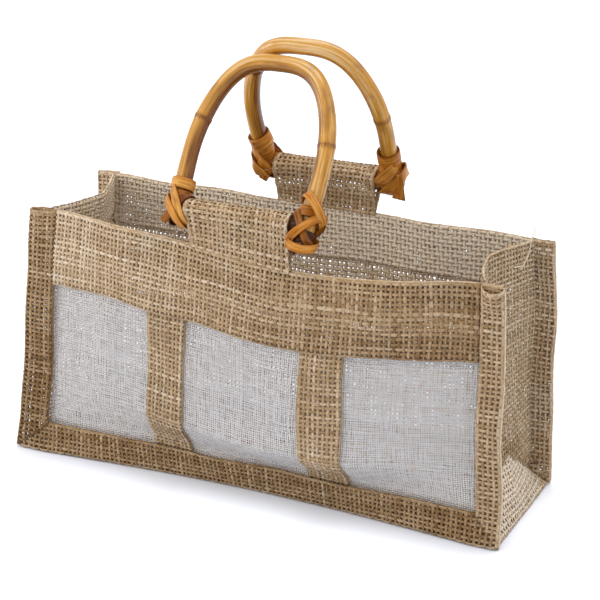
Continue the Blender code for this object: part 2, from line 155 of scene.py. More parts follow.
def settled(points):
    """Points of the straight bag, moved to where the standing bag holds them: the corners lean in
    proportion to height, the front swells by a sine across its width, and its rim dips."""
    x, y, z = points.T
    along = np.clip(x / (2 * SEAM_HALF) + 0.5, 0, 1)
    deep = np.clip(y / DEPTH + 0.5, 0, 1)
    behind = y + DEPTH / 2
    up = z / HEIGHT
    corners = (
        ((1 - along) * (1 - deep), FRONT_LEFT_LEAN),
        (along * (1 - deep), FRONT_RIGHT_LEAN),
        ((1 - along) * deep, BACK_LEFT_LEAN),
        (along * deep, BACK_RIGHT_LEAN),
    )
    for share, lean in corners:
        x = x + share * up * lean[0]
        y = y + share * up * lean[1]
    front = np.clip(1 - (behind - BULGE_REACH) / BULGE_FADE, 0, 1)
    rise = eased(z, BULGE_START, BULGE_FULL)
    ease = 1 - BULGE_EASE_SHARE * np.clip((z - BULGE_FULL) / (HEIGHT - BULGE_FULL), 0, 1)
    swell = np.sin(math.pi * along**BULGE_SKEW_SHARE)
    dip = np.sin(math.pi * along**SAG_SKEW_SHARE) ** 2
    low = np.clip(1 - z / BORDER_HEIGHT, 0, 1) * np.clip(1 - (behind - BULGE_REACH) / TUCK_FADE, 0, 1)
    y = y - BULGE * swell * rise * ease * front + (TUCK * np.sin(math.pi * along) - SPLAY) * low
    z = z - SAG * dip * rise * front
    return stacked(x, y, z)


# Soft dents that all plies at one place share: length, way, phase and how far they push
DENT_FADE = 0.020
DENTS = (
    ((0.061, 0.90, 0.20, 0.40), 0.3, (0.00010, 0.00035, 0.00025)),
    ((0.037, 0.75, 0.10, -0.65), 1.9, (0.00012, 0.00020, 0.00010)),
    ((0.024, 0.55, 0.60, 0.60), 4.1, (0.00012, 0.00012, 0.00008)),
    ((0.049, 0.10, 0.80, 0.60), 2.6, (0.00040, 0.00010, 0.00015)),
)
# How far the left and the right borders spread outwards at their feet, each at the front and the back
FLARES = ((0.0036, 0.0010), (0.0012, 0.0008))


def flared(points):
    """The borders' feet spread outwards, in proportion to the distance from the seam and the top."""
    x, y, z = points.T
    deep = np.clip(y / DEPTH + 0.5, 0, 1)
    left, right = (front * (1 - deep) + back * deep for front, back in FLARES)
    out = np.clip((np.abs(x) - SEAM_HALF) / FLANGE_WIDTH, 0, 1) * np.clip(1 - z / HEIGHT, 0, 1)
    return stacked(x + np.where(x < 0, -left, right) * out, y, z)


def standing(points):
    """The settled bag with its small dents: sines of the place, each with a length and a direction."""
    moved = settled(flared(points))
    loose = eased(points[:, 2], 0, DENT_FADE)
    for (length, *way), phase, push in DENTS:
        wave = np.sin(2 * math.pi * (points @ np.array(way)) / length + phase)
        moved = moved + (wave * loose)[:, None] * np.array(push)
    return moved


def depth(side, offset):
    """Y at an offset inwards from the flange's middle: side is -1 for the front and 1 for the back."""
    return side * (DEPTH / 2 - offset)


def strip_side_x(z, w):
    """How far out the strip's outer face lies at one height and depth share of its side: in by a
    rounded crease that grows upwards, and out by a straight slope below the facet's top edge."""
    fall = np.clip((z - FACET_HEIGHT) / (HEIGHT - FACET_HEIGHT), 0, 1)
    crease = CREASE * (1 - np.abs(w) ** CREASE_ROUND_SHARE) * fall**CREASE_FALL_SHARE
    facet = (FACET_HEIGHT - FACET_EDGE_HEIGHT) * (1 - np.abs(w)) + FACET_EDGE_HEIGHT
    flare = (LENGTH / 2 - STRIP_INSET - GUSSET_X) * np.clip(1 - z / facet, 0, 1)
    return GUSSET_X - crease + flare


def strip_base_z(x, w):
    """How high the strip's underside lies: flat on the floor, rising to the seams of the long sides."""
    edge = TROUGH_HEIGHT * np.clip((LENGTH / 2 - STRIP_INSET - np.abs(x)) / TROUGH_RUN, 0, 1)
    climb = np.clip((np.abs(w) - TROUGH_FLAT_SHARE) / (1 - TROUGH_FLAT_SHARE), 0, 1)
    return edge * climb**TROUGH_ROUND_SHARE


# Folded paths, as rows of a place and an offset inwards

BEND_POINTS = 9


def bend(place, start, end, way):
    """Half a turn at a place, from one offset to another, bulging towards larger places if way is 1."""
    angle = np.linspace(0, math.pi, BEND_POINTS)
    middle, half = (start + end) / 2, (end - start) / 2
    return stacked(place + way * abs(half) * (np.sin(angle) - 1), middle - half * np.cos(angle))


def path_length(path):
    """Distance along a path at each of its points."""
    steps = np.linalg.norm(np.diff(path, axis=0), axis=1)
    return np.concatenate([[0], np.cumsum(steps)])


def folded(rows):
    """A path from its rows of points, and its whole length."""
    path = np.concatenate(rows)
    return path, path_length(path)[-1]


def along_path(path, distance):
    """Place and offset at distances along a path, by straight lines between its points."""
    measured = path_length(path)
    return np.interp(distance, measured, path[:, 0]), np.interp(distance, measured, path[:, 1])


# Woven cloth

# Each weave: its yarns' spacing, width and thickness, how far they go over and under, how far they
# stray and wander, how uneven they are, their sides and steps per crossing, their tone, and how much
# painted shade darkens their edges. The muslin is drawn coarser than real muslin, so that its threads show
JUTE = {"pitch": 2.20 * MM, "width": 1.40 * MM, "thick": 0.60 * MM, "wave": 0.23 * MM, "loose": 0.08 * MM}
JUTE |= {"wander": 0.10 * MM, "slub_share": 0.16, "sides": 6, "steps": 2, "tone": 0.53, "edge_dark": 0.20}
PRESSED_JUTE = JUTE | {"thick": 0.40 * MM, "wave": 0.18 * MM}
DARK_JUTE = JUTE | {"tone": 0.34}
TAB_JUTE = JUTE | {"width": 1.46 * MM, "thick": 0.42 * MM}
DENSE_JUTE = JUTE | {"width": 1.60 * MM, "thick": 0.34 * MM, "wave": 0.18 * MM, "loose": 0.12 * MM}
DENSE_JUTE |= {"wander": 0.14 * MM, "sides": 4, "tone": 0.66, "edge_dark": 0.28}
BACK_JUTE = DENSE_JUTE | {"width": 1.68 * MM, "thick": 0.32 * MM, "tone": DENSE_JUTE["tone"] + 0.16}
MUSLIN = {"pitch": 1.0 * MM, "width": 0.66 * MM, "thick": 0.20 * MM, "wave": 0.10 * MM, "loose": 0.07 * MM}
MUSLIN |= {"wander": 0.12 * MM, "slub_share": 0.25, "sides": 3, "steps": 1, "tone": 0.50, "edge_dark": 0}
TONE_SPREAD = 0.065
TONE_WAVE = 0.08
NORMAL_STEP = 0.15 * MM
END_MARGIN_SHARE = 0.3
SPARE_KNOTS = 4
WANDER_LENGTH = 22 * MM
SLUB_LENGTH = 9 * MM
STRETCH_SHARES = (0.7, 1.4)
FIBRE_JUMP = 61.0


def spaced(start, end, weave, rng):
    """Places of one set of yarns: even from start to end, each a little off."""
    count = max(2, round((end - start) / weave["pitch"]))
    regular = start + (np.arange(count) + 0.5) * (end - start) / count
    most = 2 * weave["loose"]
    return regular + np.clip(rng.normal(0, weave["loose"], count), -most, most)


def full_run(places, begin, finish):
    """Yarns that all run from one line to another."""
    return places, np.full(len(places), float(begin)), np.full(len(places), float(finish))


def surface_normals(surface, u, v, facing):
    """Unit normals by differences of the surface along its two lengths, turned to the outer side."""
    du = surface(u + NORMAL_STEP, v) - surface(u - NORMAL_STEP, v)
    dv = surface(u, v + NORMAL_STEP) - surface(u, v - NORMAL_STEP)
    normal = np.cross(du, dv)
    return facing * normal / np.linalg.norm(normal, axis=1)[:, None]


def corners_of_ring(sides):
    """The cosine and the sine of the angle of each corner of a ring."""
    angle = 2 * math.pi * np.arange(sides) / sides
    return np.cos(angle), np.sin(angle)


def rings(centres, sideways, outward, half_width, half_thick, sides, round_share):
    """Flattened rings: centre + sideways * width * cos + outward * thickness * sin. The cosine and
    sine are raised to the round share, so that a small share gives flat faces and sharp edges."""
    cosine, sine = corners_of_ring(sides)
    across = half_width[:, None] * np.sign(cosine) * np.abs(cosine) ** round_share
    through = half_thick[:, None] * np.sign(sine) * np.abs(sine) ** round_share
    return centres[:, None] + across[..., None] * sideways[:, None] + through[..., None] * outward[:, None]


def tube_faces(counts, sides):
    """Quads between neighbouring rings of each tube, and a cap at each of its ends."""
    total = int(np.sum(counts))
    last = np.cumsum(counts) - 1
    first = last - counts + 1
    inner = np.ones(total, bool)
    inner[last] = False
    start = np.flatnonzero(inner)[:, None] * sides
    k = np.arange(sides)[None]
    after = (k + 1) % sides
    quads = np.stack([start + k, start + after, start + sides + after, start + sides + k], axis=-1)
    caps = np.concatenate([first[:, None] * sides + k[:, ::-1], last[:, None] * sides + k])
    return quads.reshape(-1, 4), caps


def swept(centres, outward, half_width, half_thick, counts, sides, tone, along, round_share=1.0):
    """Tubes along lines of centres: the section's flat side faces outward and stays square to the line."""
    last = np.repeat(np.cumsum(counts) - 1, counts)
    first = last - np.repeat(counts, counts) + 1
    at = np.arange(len(centres))
    forward = centres[np.minimum(at + 1, last)] - centres[np.maximum(at - 1, first)]
    forward /= np.linalg.norm(forward, axis=1)[:, None]
    sideways = np.cross(outward, forward)
    sideways /= np.linalg.norm(sideways, axis=1)[:, None]
    upward = np.cross(forward, sideways)
    points = rings(centres, sideways, upward, half_width, half_thick, sides, round_share)
    fibre = np.stack(np.broadcast_arrays(along[:, None], *corners_of_ring(sides)), axis=-1)
    faces = tube_faces(counts, sides)
    return points.reshape(-1, 3), *faces, fibre.reshape(-1, 3), np.repeat(tone, sides)


def rod(line, outward, half_width, half_thick, sides, tone, along, round_share=1.0):
    """One tube along a line. What isn't given for each of its points is the same at all of them."""
    outward = np.broadcast_to(outward, line.shape)
    wide, thick, tones = (np.broadcast_to(value, len(line)) for value in (half_width, half_thick, tone))
    return swept(line, outward, wide, thick, np.array([len(line)]), sides, tones, along, round_share)


def even(points):
    """No change over the cloth."""
    return np.zeros(len(points))


def stations(begin, finish, crossed, steps):
    """Where the rings of each yarn stand, evenly between the yarns that it crosses: how many it has,
    and for each ring its yarn's number, the number of the crossing and the distance along the cloth."""
    pitch = float(np.mean(np.diff(crossed)))
    spare = pitch * np.arange(1, SPARE_KNOTS + 1)
    knots = np.concatenate([crossed[0] - spare[::-1], crossed, crossed[-1] + spare])
    knot_number = np.arange(len(knots)) - SPARE_KNOTS
    q_begin = np.interp(begin, knots, knot_number)
    q_finish = np.interp(finish, knots, knot_number)
    first = np.ceil(q_begin * steps + END_MARGIN_SHARE)
    last = np.floor(q_finish * steps - END_MARGIN_SHARE)
    counts = np.maximum(last - first + 3, 2).astype(int)
    owner = np.repeat(np.arange(len(counts)), counts)
    local = np.arange(len(owner)) - np.repeat(np.cumsum(counts) - counts, counts)
    q = np.clip((first[owner] - 1 + local) / steps, q_begin[owner], q_finish[owner])
    return counts, owner, q, np.interp(q, knot_number, knots)


def yarns(surface, yarn_set, crossed, runs_up, weave, facing, rng, shade, fill):
    """One set of yarns. Each runs along the other length of the cloth, a cosine over and under the
    yarns that it crosses, wanders by a slow sine and swells and thins by a quicker one. Its sides
    are darker than its middle: painted shade, so that flat yarns look round."""
    places, begin, finish = yarn_set
    counts, owner, q, t = stations(begin, finish, crossed, weave["steps"])
    phase = rng.uniform(0, 2 * math.pi, (3, len(places)))
    stretch = rng.uniform(*STRETCH_SHARES, len(places))
    wander = weave["wander"] * np.sin(2 * math.pi * t / (WANDER_LENGTH * stretch[owner]) + phase[0][owner])
    slub = weave["slub_share"] * np.sin(2 * math.pi * t / (SLUB_LENGTH * stretch[owner]) + phase[1][owner])
    size = 1 + slub + rng.normal(0, weave["slub_share"] / 2, len(places))[owner]
    c = places[owner] + wander
    u, v = (c, t) if runs_up else (t, c)
    normal = surface_normals(surface, u, v, facing)
    over = weave["wave"] * np.cos(math.pi * (q + owner)) * (1 if runs_up else -1)
    centres = surface(u, v) + normal * over[:, None]
    size = size * (1 + fill(centres))
    tone = rng.normal(weave["tone"], TONE_SPREAD, len(places))[owner]
    tone = tone + TONE_WAVE * np.sin(phase[2][owner] + t / SLUB_LENGTH) + shade(centres)
    along = t / MM + FIBRE_JUMP * owner
    halves = weave["width"] / 2 * size, weave["thick"] / 2 * np.sqrt(size)
    *mesh, fibre, tones = swept(centres, normal, *halves, counts, weave["sides"], tone, along)
    return (*mesh, fibre, tones - weave["edge_dark"] * fibre[:, 1] ** 2), centres, normal


HAIR_STATIONS = 5
HAIR_SIDES = 3
HAIR_LENGTH = 1.7 * MM
HAIR_LENGTH_SHARES = (0.4, 1.5)
HAIR_RADIUS = 0.04 * MM
HAIR_TONE = 0.95
HAIR_ROOT_SHARE = 0.25
HAIR_LIFT_SHARE = 0.3
HAIR_SPREAD_SHARE = 0.6
HAIR_CURL_SHARE = 0.35
HAIRS_PER_SQUARE_METRE = 110000


def hairs(centres, normal, count, thick, rng):
    """Loose fibres that leave the yarns: curved lines, straight out at first and then bent over.
    They are drawn about twice as thick as real ones, so that they show."""
    at = rng.integers(0, len(centres), count)
    length = HAIR_LENGTH * rng.uniform(*HAIR_LENGTH_SHARES, count)
    lean = rng.normal(0, 1, (count, 3))
    curl = rng.normal(0, 1, (count, 3))
    share = np.linspace(0, 1, HAIR_STATIONS)[None, :, None]
    reach = normal[at] * HAIR_LIFT_SHARE + lean * HAIR_SPREAD_SHARE
    start = centres[at] + normal[at] * thick * HAIR_ROOT_SHARE
    way = reach[:, None] * share + HAIR_CURL_SHARE * curl[:, None] * share**2
    line = start[:, None] + length[:, None, None] * way
    line[..., 2] = np.maximum(line[..., 2], HAIR_RADIUS)
    counts = np.full(count, HAIR_STATIONS)
    line = line.reshape(-1, 3)
    outward = np.repeat(np.cross(reach, curl), HAIR_STATIONS, axis=0)
    radius = np.full(len(line), HAIR_RADIUS)
    tone = np.full(len(line), HAIR_TONE)
    return swept(line, outward, radius, radius, counts, HAIR_SIDES, tone, np.zeros(len(line)))


def joined(parts):
    """Several sets of tubes as one: points, loops, how many corners each face has, and attributes."""
    loops, corners, offset = [], [], 0
    for points, *faces_by_kind, _, _ in parts:
        for faces in faces_by_kind:
            loops.append((faces + offset).ravel())
            corners.append(np.full(len(faces), faces.shape[1]))
        offset += len(points)
    points, _, _, fibres, tones = zip(*parts)
    return [np.concatenate(part) for part in (points, loops, corners, fibres, tones)]


def new_object(name, data):
    obj = bpy.data.objects.new(name, data)
    bpy.context.scene.collection.objects.link(obj)
    return obj


def mesh_piece(name, parts, finish):
    """A smooth mesh object of closed tubes, with where each point lies on its fibre and its tone."""
    points, loops, corners, fibres, tones = joined(parts)
    mesh = bpy.data.meshes.new(name)
    mesh.vertices.add(len(points))
    mesh.vertices.foreach_set("co", points.astype(np.float32).ravel())
    mesh.loops.add(len(loops))
    mesh.loops.foreach_set("vertex_index", loops.astype(np.int32))
    mesh.polygons.add(len(corners))
    starts = np.concatenate([[0], np.cumsum(corners)[:-1]])
    mesh.polygons.foreach_set("loop_start", starts.astype(np.int32))
    mesh.update(calc_edges=True)
    attributes = (("fibre", "FLOAT_VECTOR", "vector", fibres), ("tone", "FLOAT", "value", tones))
    for label, kind, field, values in attributes:
        made = mesh.attributes.new(label, kind, "POINT")
        made.data.foreach_set(field, values.astype(np.float32).ravel())
    mesh.shade_smooth()
    mesh.materials.append(finish)
    return new_object(name, mesh)


def woven(
    name, surface, facing, warp, weft, weave, finish, rng, hair_share=1.0, extra=(), shade=even, fill=even
):
    """A cloth of two sets of yarns. Warp runs along the second length, weft along the first."""
    up, up_centres, up_normals = yarns(surface, warp, weft[0], True, weave, facing, rng, shade, fill)
    over, over_centres, over_normals = yarns(surface, weft, warp[0], False, weave, facing, rng, shade, fill)
    parts = [up, over, *extra]
    area = float(np.ptp(warp[0]) * np.ptp(weft[0]))
    count = int(area * HAIRS_PER_SQUARE_METRE * hair_share)
    if count:
        centres = np.concatenate([up_centres, over_centres])
        normals = np.concatenate([up_normals, over_normals])
        parts.append(hairs(centres, normals, count, weave["thick"], rng))
    return mesh_piece(name, parts, finish)


# Materials


def linear(hex_colour):
    """An sRGB hex colour as linear red, green, blue and full alpha."""
    channels = [int(hex_colour[k : k + 2], 16) / 255 for k in (1, 3, 5)]
    return (*[c / 12.92 if c <= 0.04045 else ((c + 0.055) / 1.055) ** 2.4 for c in channels], 1.0)


def feed(tree, node, inputs):
    """Gives a node its inputs. Each key is an input's name or number, each value a socket to link
    or a plain value."""
    for key, value in inputs.items():
        if isinstance(value, bpy.types.NodeSocket):
            tree.links.new(value, node.inputs[key])
        else:
            node.inputs[key].default_value = value


def add(tree, kind, inputs=None, **settings):
    """Adds a node with its settings and inputs."""
    node = tree.nodes.new(kind)
    for key, value in settings.items():
        setattr(node, key, value)
    feed(tree, node, inputs or {})
    return node


# The colour sockets of a mixing node, by their numbers
MIX_A, MIX_B, MIX_RESULT = 6, 7, 2


def set_stops(ramp, colours):
    """Spreads colours evenly over a ramp, and gives its output."""
    stops = ramp.color_ramp.elements
    stops[0].color = linear(colours[0])
    stops[1].color = linear(colours[-1])
    for number, colour in enumerate(colours[1:-1], 1):
        stops.new(number / (len(colours) - 1)).color = linear(colour)
    return ramp.outputs["Color"]


def bare_material(name):
    """A new material with its Principled shader and node tree."""
    made = bpy.data.materials.new(name)
    made.use_nodes = True
    return made, made.node_tree, made.node_tree.nodes["Principled BSDF"]


def streaked(tree, shader, look):
    """Fibres that run lengthwise: noise stretched along each yarn or strip, added to the piece's tone
    and coloured by a ramp. The noise gives a fine relief too."""
    fibre = add(tree, "ShaderNodeAttribute", attribute_name="fibre").outputs["Vector"]
    tone = add(tree, "ShaderNodeAttribute", attribute_name="tone").outputs["Fac"]
    stretched = add(tree, "ShaderNodeMapping", {"Vector": fibre, "Scale": look["grain"]}).outputs[0]
    noise = {"Vector": stretched, "Scale": look["scale"], "Detail": look["detail"]}
    streaks = add(tree, "ShaderNodeTexNoise", noise).outputs["Fac"]
    mixed = add(tree, "ShaderNodeMath", {0: streaks, 1: tone}, operation="ADD").outputs[0]
    span = {"Value": mixed, "From Min": look["span"][0], "From Max": look["span"][1]}
    shade = add(tree, "ShaderNodeMapRange", span).outputs[0]
    relief = {"Height": streaks, "Strength": look["relief"], "Distance": look["relief_depth"]}
    feed(tree, shader, {"Normal": add(tree, "ShaderNodeBump", relief).outputs[0]})
    return fibre, set_stops(add(tree, "ShaderNodeValToRGB", {"Fac": shade}), look["colours"])


# Each grain is how fast the noise changes per millimetre along a fibre, and round it
JUTE_LOOK = {"grain": (0.22, 1.6, 1.6), "scale": 1.7, "detail": 4.0, "span": (0.22, 1.42)}
JUTE_LOOK |= {"relief": 0.6, "relief_depth": 0.25 * MM}
JUTE_LOOK |= {"colours": ("#4E2F0B", "#85653B", "#C9B190", "#F6ECDC")}
# The patches are about 30 mm across, which is 34 to a metre
JUTE_PATCHES = {"Scale": 34.0, "Detail": 3.0}
JUTE_PATCH_COLOURS = ("#FFF1DC", "#FAF3EA", "#F2F0EE")
JUTE_SURFACE = {"Roughness": 0.88, "Specular IOR Level": 0.25, "Sheen Weight": 0.15, "Sheen Roughness": 0.5}


def finish_jute():
    """Spun jute: matt, hairy bast fibre. It gives straw and tan yarns, streaked lengthwise, each of
    its own shade, with grey and golden patches over the cloth."""
    made, tree, shader = bare_material("spun jute")
    yarn = streaked(tree, shader, JUTE_LOOK)[1]
    place = add(tree, "ShaderNodeTexCoord").outputs["Object"]
    patches = add(tree, "ShaderNodeTexNoise", {"Vector": place} | JUTE_PATCHES).outputs["Fac"]
    warm = set_stops(add(tree, "ShaderNodeValToRGB", {"Fac": patches}), JUTE_PATCH_COLOURS)
    links = {0: 1.0, MIX_A: yarn, MIX_B: warm}
    colour = add(tree, "ShaderNodeMix", links, data_type="RGBA", blend_type="MULTIPLY")
    feed(tree, shader, {"Base Color": colour.outputs[MIX_RESULT]} | JUTE_SURFACE)
    return made


MUSLIN_COLOURS = ("#D6D2D1", "#E6E3E2", "#F4F2F2")
MUSLIN_SURFACE = {"Roughness": 0.9, "Specular IOR Level": 0.2}


def finish_muslin():
    """Bleached cotton muslin: thin loose threads, greyish white and matt."""
    made, tree, shader = bare_material("cotton muslin")
    tone = add(tree, "ShaderNodeAttribute", attribute_name="tone").outputs["Fac"]
    threads = set_stops(add(tree, "ShaderNodeValToRGB", {"Fac": tone}), MUSLIN_COLOURS)
    feed(tree, shader, {"Base Color": threads} | MUSLIN_SURFACE)
    return made


SKIN_LOOK = {"scale": 1.0, "detail": 5.0, "span": (0.6, 1.4), "relief": 0.5, "relief_depth": 0.3 * MM}
CANE_LOOK = SKIN_LOOK | {"grain": (0.05, 3.6, 3.6), "colours": ("#784206", "#D09430", "#F5DCAE")}
PEEL_LOOK = SKIN_LOOK | {"grain": (0.10, 3.0, 3.0), "colours": ("#3A1700", "#B96E12", "#E6AC58")}
SKIN_SURFACE = {"Roughness": 0.42, "Coat Roughness": 0.16}
CANE_SURFACE = SKIN_SURFACE | {"Specular IOR Level": 0.25, "Coat Weight": 0.5}
PEEL_SURFACE = SKIN_SURFACE | {"Specular IOR Level": 0.15, "Coat Weight": 0.16}
CANE_SCORCH, PEEL_SCORCH = "#8C5A22", "#6E3204"
SCORCH_GRAIN = (0.09, 0.7, 0.7)
SCORCH_NOISE = {"Scale": 1.0, "Detail": 3.0}
SCORCH_SPAN = {"From Min": 0.55, "From Max": 0.75, "To Max": 0.7}


def finish_cane(name, look, surface, scorch):
    """Steamed and varnished rattan: a skin with fine lengthwise grain, brown where its tone holds
    painted shade in its hollows, with scorched spots where it was bent over heat."""
    made, tree, shader = bare_material(name)
    fibre, skin = streaked(tree, shader, look)
    stretched = add(tree, "ShaderNodeMapping", {"Vector": fibre, "Scale": SCORCH_GRAIN}).outputs[0]
    blotches = add(tree, "ShaderNodeTexNoise", {"Vector": stretched} | SCORCH_NOISE).outputs["Fac"]
    mask = add(tree, "ShaderNodeMapRange", {"Value": blotches} | SCORCH_SPAN).outputs[0]
    links = {0: mask, MIX_A: skin, MIX_B: linear(scorch)}
    colour = add(tree, "ShaderNodeMix", links, data_type="RGBA", blend_type="MIX")
    feed(tree, shader, {"Base Color": colour.outputs[MIX_RESULT]} | surface)
    return made


# The cloth pieces of the bag

# Where the random draws of each plain cloth start
SEEDS = {"band_cloth": 1, "left_strap_cloth": 2, "right_strap_cloth": 3, "muslin_cloth": 4, "back_cloth": 5}
SEEDS |= {"left_gusset_cloth": 6, "right_gusset_cloth": 7, "base_cloth": 8}
SEEDS |= {"front_tab_cloth": 31, "back_tab_cloth": 32}
SELVEDGE = 0.45 * MM
CUT_MARGIN = 0.3 * MM
PIPING_HALF_WIDTH = 0.48 * MM
PIPING_SLUB_SHARE = 0.125
PIPING_STEP = 2.0 * MM
PIPING_TONE = 0.80
RIM_TONE = 0.60


def piping(surface, u, v, tone, rng):
    """A rolled edge: one thick pale yarn that lies along a fold."""
    line = surface(u, v)
    outward = surface_normals(surface, u, v, 1)
    half = PIPING_HALF_WIDTH * (1 + rng.normal(0, PIPING_SLUB_SHARE, len(line)))
    return rod(line, outward, half, half, JUTE["sides"], tone, path_length(line) / MM)


def beside(places, fold, pitch, length):
    """Places of yarns, slid until a fold lies midway between two of them, and kept on the cloth."""
    ahead = places[np.argmin(np.abs(places - fold - pitch / 2))]
    slid = places - (ahead - fold - pitch / 2)
    return slid[(slid > CUT_MARGIN) & (slid < length - CUT_MARGIN)]


def cloth(name, surface, facing, across, upward, weave, finish, edged=False, rim=None, **options):
    """A woven rectangle, from its range across and its range upwards. An edged one has a yarn along
    both of its sides, which the others turn round. One with a rim has a rolled edge along a fold."""
    rng = np.random.default_rng(SEEDS[name])
    columns, rows = spaced(*across, weave, rng), spaced(*upward, weave, rng)
    if rim is not None:
        rows = beside(rows, rim, weave["pitch"], upward[1])
        line = np.arange(*across, PIPING_STEP)
        options["extra"] = (piping(surface, line, np.full(len(line), rim), RIM_TONE, rng),)
    if edged:
        columns = np.concatenate([[across[0] + SELVEDGE], columns, [across[1] - SELVEDGE]])
    warp, weft = full_run(columns, *upward), full_run(rows, *across)
    return woven(name, surface, facing, warp, weft, weave, finish, rng, **options)


def dress(obj, body, node):
    """Says what a piece rides on, which solid it stands for."""
    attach(obj, body)
    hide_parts(node)


def dress_bag(obj, node):
    """Says which solid of the bag a cloth stands for."""
    dress(obj, "bag", node)


HALF_PITCH = 1.1 * MM
SHIFT_RUN = 0.8 * MM
SHIFT_FADE = 10 * MM


def half_yarn(offset, outer):
    """The plies behind the outer one lie half a yarn to the side, so that they cover its holes."""
    return HALF_PITCH * np.clip((offset - outer) / SHIFT_RUN, 0, 1)


def inside(place, edge):
    """1 well within an edge on both sides, falling evenly to 0 at it."""
    return np.clip((edge - np.abs(place)) / SHIFT_FADE, 0, 1)


def wall(name, node, side, rows, across, weave, finish, **looks):
    """A cloth of the front or back: across is X, and the second length runs along a folded path. It
    has a rolled edge along its highest fold."""
    path, length = folded(rows)
    outer = np.min(path[:, 1])
    rim = path_length(path)[np.argmax(path[:, 0])]

    def surface(x, distance):
        z, offset = along_path(path, distance)
        x = x + half_yarn(offset, outer) * inside(x, SEAM_HALF)
        return standing(stacked(x, depth(side, offset), z))

    obj = cloth(name, surface, -side, across, (0, length), weave, finish, rim=rim, **looks)
    dress_bag(obj, node)


BAND_TURN_IN = 13 * MM
FOLD_GAP = 1.0 * MM
LEFT_BORDER_WIDTH = 14.0 * MM
RIGHT_BORDER_WIDTH = 10.8 * MM
# The band's painted shade: how much darker it grows per metre to the right
BAND_PAINTED_SHADE_PER_METRE = 1.7
BAND_PRESSED_SHARE = 0.28
BAND_PRESSED_X = (0.005, 0.025)
BAND_PRESSED_Z = (0.093, 0.097, 0.106, 0.110)
BAND_HAIR_SHARE = 0.8


def band_painted_shade(points):
    """The band grows darker to the right: painted shade."""
    return -BAND_PAINTED_SHADE_PER_METRE * points[:, 0]


def band_fill(points):
    """To the right and at half its height the band is pressed flat, so that its yarns are wider."""
    x, _, z = points.T
    low, low_full, high_full, high = BAND_PRESSED_Z
    pressed = BAND_PRESSED_SHARE * eased(x, *BAND_PRESSED_X)
    return pressed * eased(z, low, low_full) * (1 - eased(z, high_full, high))


def front_band(finish):
    """The band: its lower edge turned in behind, its top folded in as a deep hem."""
    outer = -FLANGE_HALF + HALF_PLY
    turned = outer + FOLD_GAP
    hem = -FLANGE_HALF + FRONT_HEM_THICK - HALF_PLY
    bottom = HEIGHT - BAND_HEIGHT
    rows = [
        [(bottom + BAND_TURN_IN, turned)],
        bend(bottom, turned, outer, -1),
        bend(HEIGHT, outer, hem, 1),
        [(HEIGHT - FRONT_HEM_HEIGHT, hem)],
    ]
    across = LEFT_BORDER_WIDTH + CLEARANCE - LENGTH / 2, LENGTH / 2 - RIGHT_BORDER_WIDTH - CLEARANCE
    looks = {"shade": band_painted_shade, "fill": band_fill, "hair_share": BAND_HAIR_SHARE}
    wall("band_cloth", "front_band", -1, rows, across, JUTE, finish, **looks)


STRAP_TURN_IN = 8 * MM
STRAP_OFFSET = 0.2 * MM
STRAP_FOLD_GAP = 0.85 * MM
STRAP_DIVE = 1.0 * MM
STRAP_DIVE_RUN = 5 * MM
STRAP_FOOT = 12.5 * MM
STRAP_TUCK = 5 * MM


def strap(way, finish):
    """A strap with both edges folded behind. Its ends dive in behind the band and the bottom border."""
    middle = ENDS[way] * (WINDOW_WIDTH + STRAP_WIDTH) / 2
    half = STRAP_WIDTH / 2
    back = STRAP_OFFSET + STRAP_FOLD_GAP
    rows = [
        [(STRAP_TURN_IN - half, back)],
        bend(-half, back, STRAP_OFFSET, -1),
        bend(half, STRAP_OFFSET, back, 1),
        [(half - STRAP_TURN_IN, back)],
    ]
    path, length = folded(rows)
    top = HEIGHT - BAND_HEIGHT + STRAP_TUCK

    def surface(distance, z):
        x, offset = along_path(path, distance)
        dive = 1 - eased(z, STRAP_FOOT, STRAP_FOOT + STRAP_DIVE_RUN) + eased(z, top - STRAP_DIVE_RUN, top)
        return standing(stacked(middle + x, depth(-1, offset + STRAP_DIVE * dive), z))

    node = way + "_strap"
    obj = cloth(node + "_cloth", surface, 1, (0, length), (STRAP_FOOT, top), PRESSED_JUTE, finish)
    dress_bag(obj, node)


MUSLIN_OFFSET = 1.9 * MM
MUSLIN_PUFF = 1.3 * MM
MUSLIN_FOOT = 13.6 * MM
MUSLIN_OVERLAP = 4 * MM
MUSLIN_LEFT_INSET = 1.5 * MM
MUSLIN_RIGHT_LAP = 3.0 * MM


def window_cloth(finish):
    """One thin sheet behind the straps, swelling a little in each window by the root of a sine across
    times a sine upwards."""
    start, end = MUSLIN_LEFT_INSET - SEAM_HALF, SEAM_HALF + MUSLIN_RIGHT_LAP
    top = HEIGHT - BAND_HEIGHT + MUSLIN_OVERLAP

    def surface(x, z):
        across = ((x + SEAM_HALF) % (WINDOW_WIDTH + STRAP_WIDTH)) / WINDOW_WIDTH
        upward = (z - MUSLIN_FOOT) / (top - MUSLIN_FOOT)
        puff = np.sin(math.pi * np.clip(across, 0, 1)) * np.sin(math.pi * np.clip(upward, 0, 1))
        offset = MUSLIN_OFFSET - MUSLIN_PUFF * np.sqrt(np.clip(puff, 0, 1))
        return standing(stacked(x, depth(-1, offset), z))

    upright = (MUSLIN_FOOT, top)
    obj = cloth("muslin_cloth", surface, 1, (start, end), upright, MUSLIN, finish, hair_share=0)
    dress_bag(obj, "window_cloth")


BACK_FOOT = 14 * MM
BACK_SIDE_LAP = 1.5 * MM
BACK_OUTER = -FLANGE_HALF + PLY + CLEARANCE + HALF_PLY
BACK_HAIR_SHARE = 0.12
# Painted light on the back hem's inner ply, and how much more of it per metre to the right
BACK_HEM_PAINTED_LIGHT = 0.34
BACK_HEM_PAINTED_LIGHT_PER_METRE = 1.4


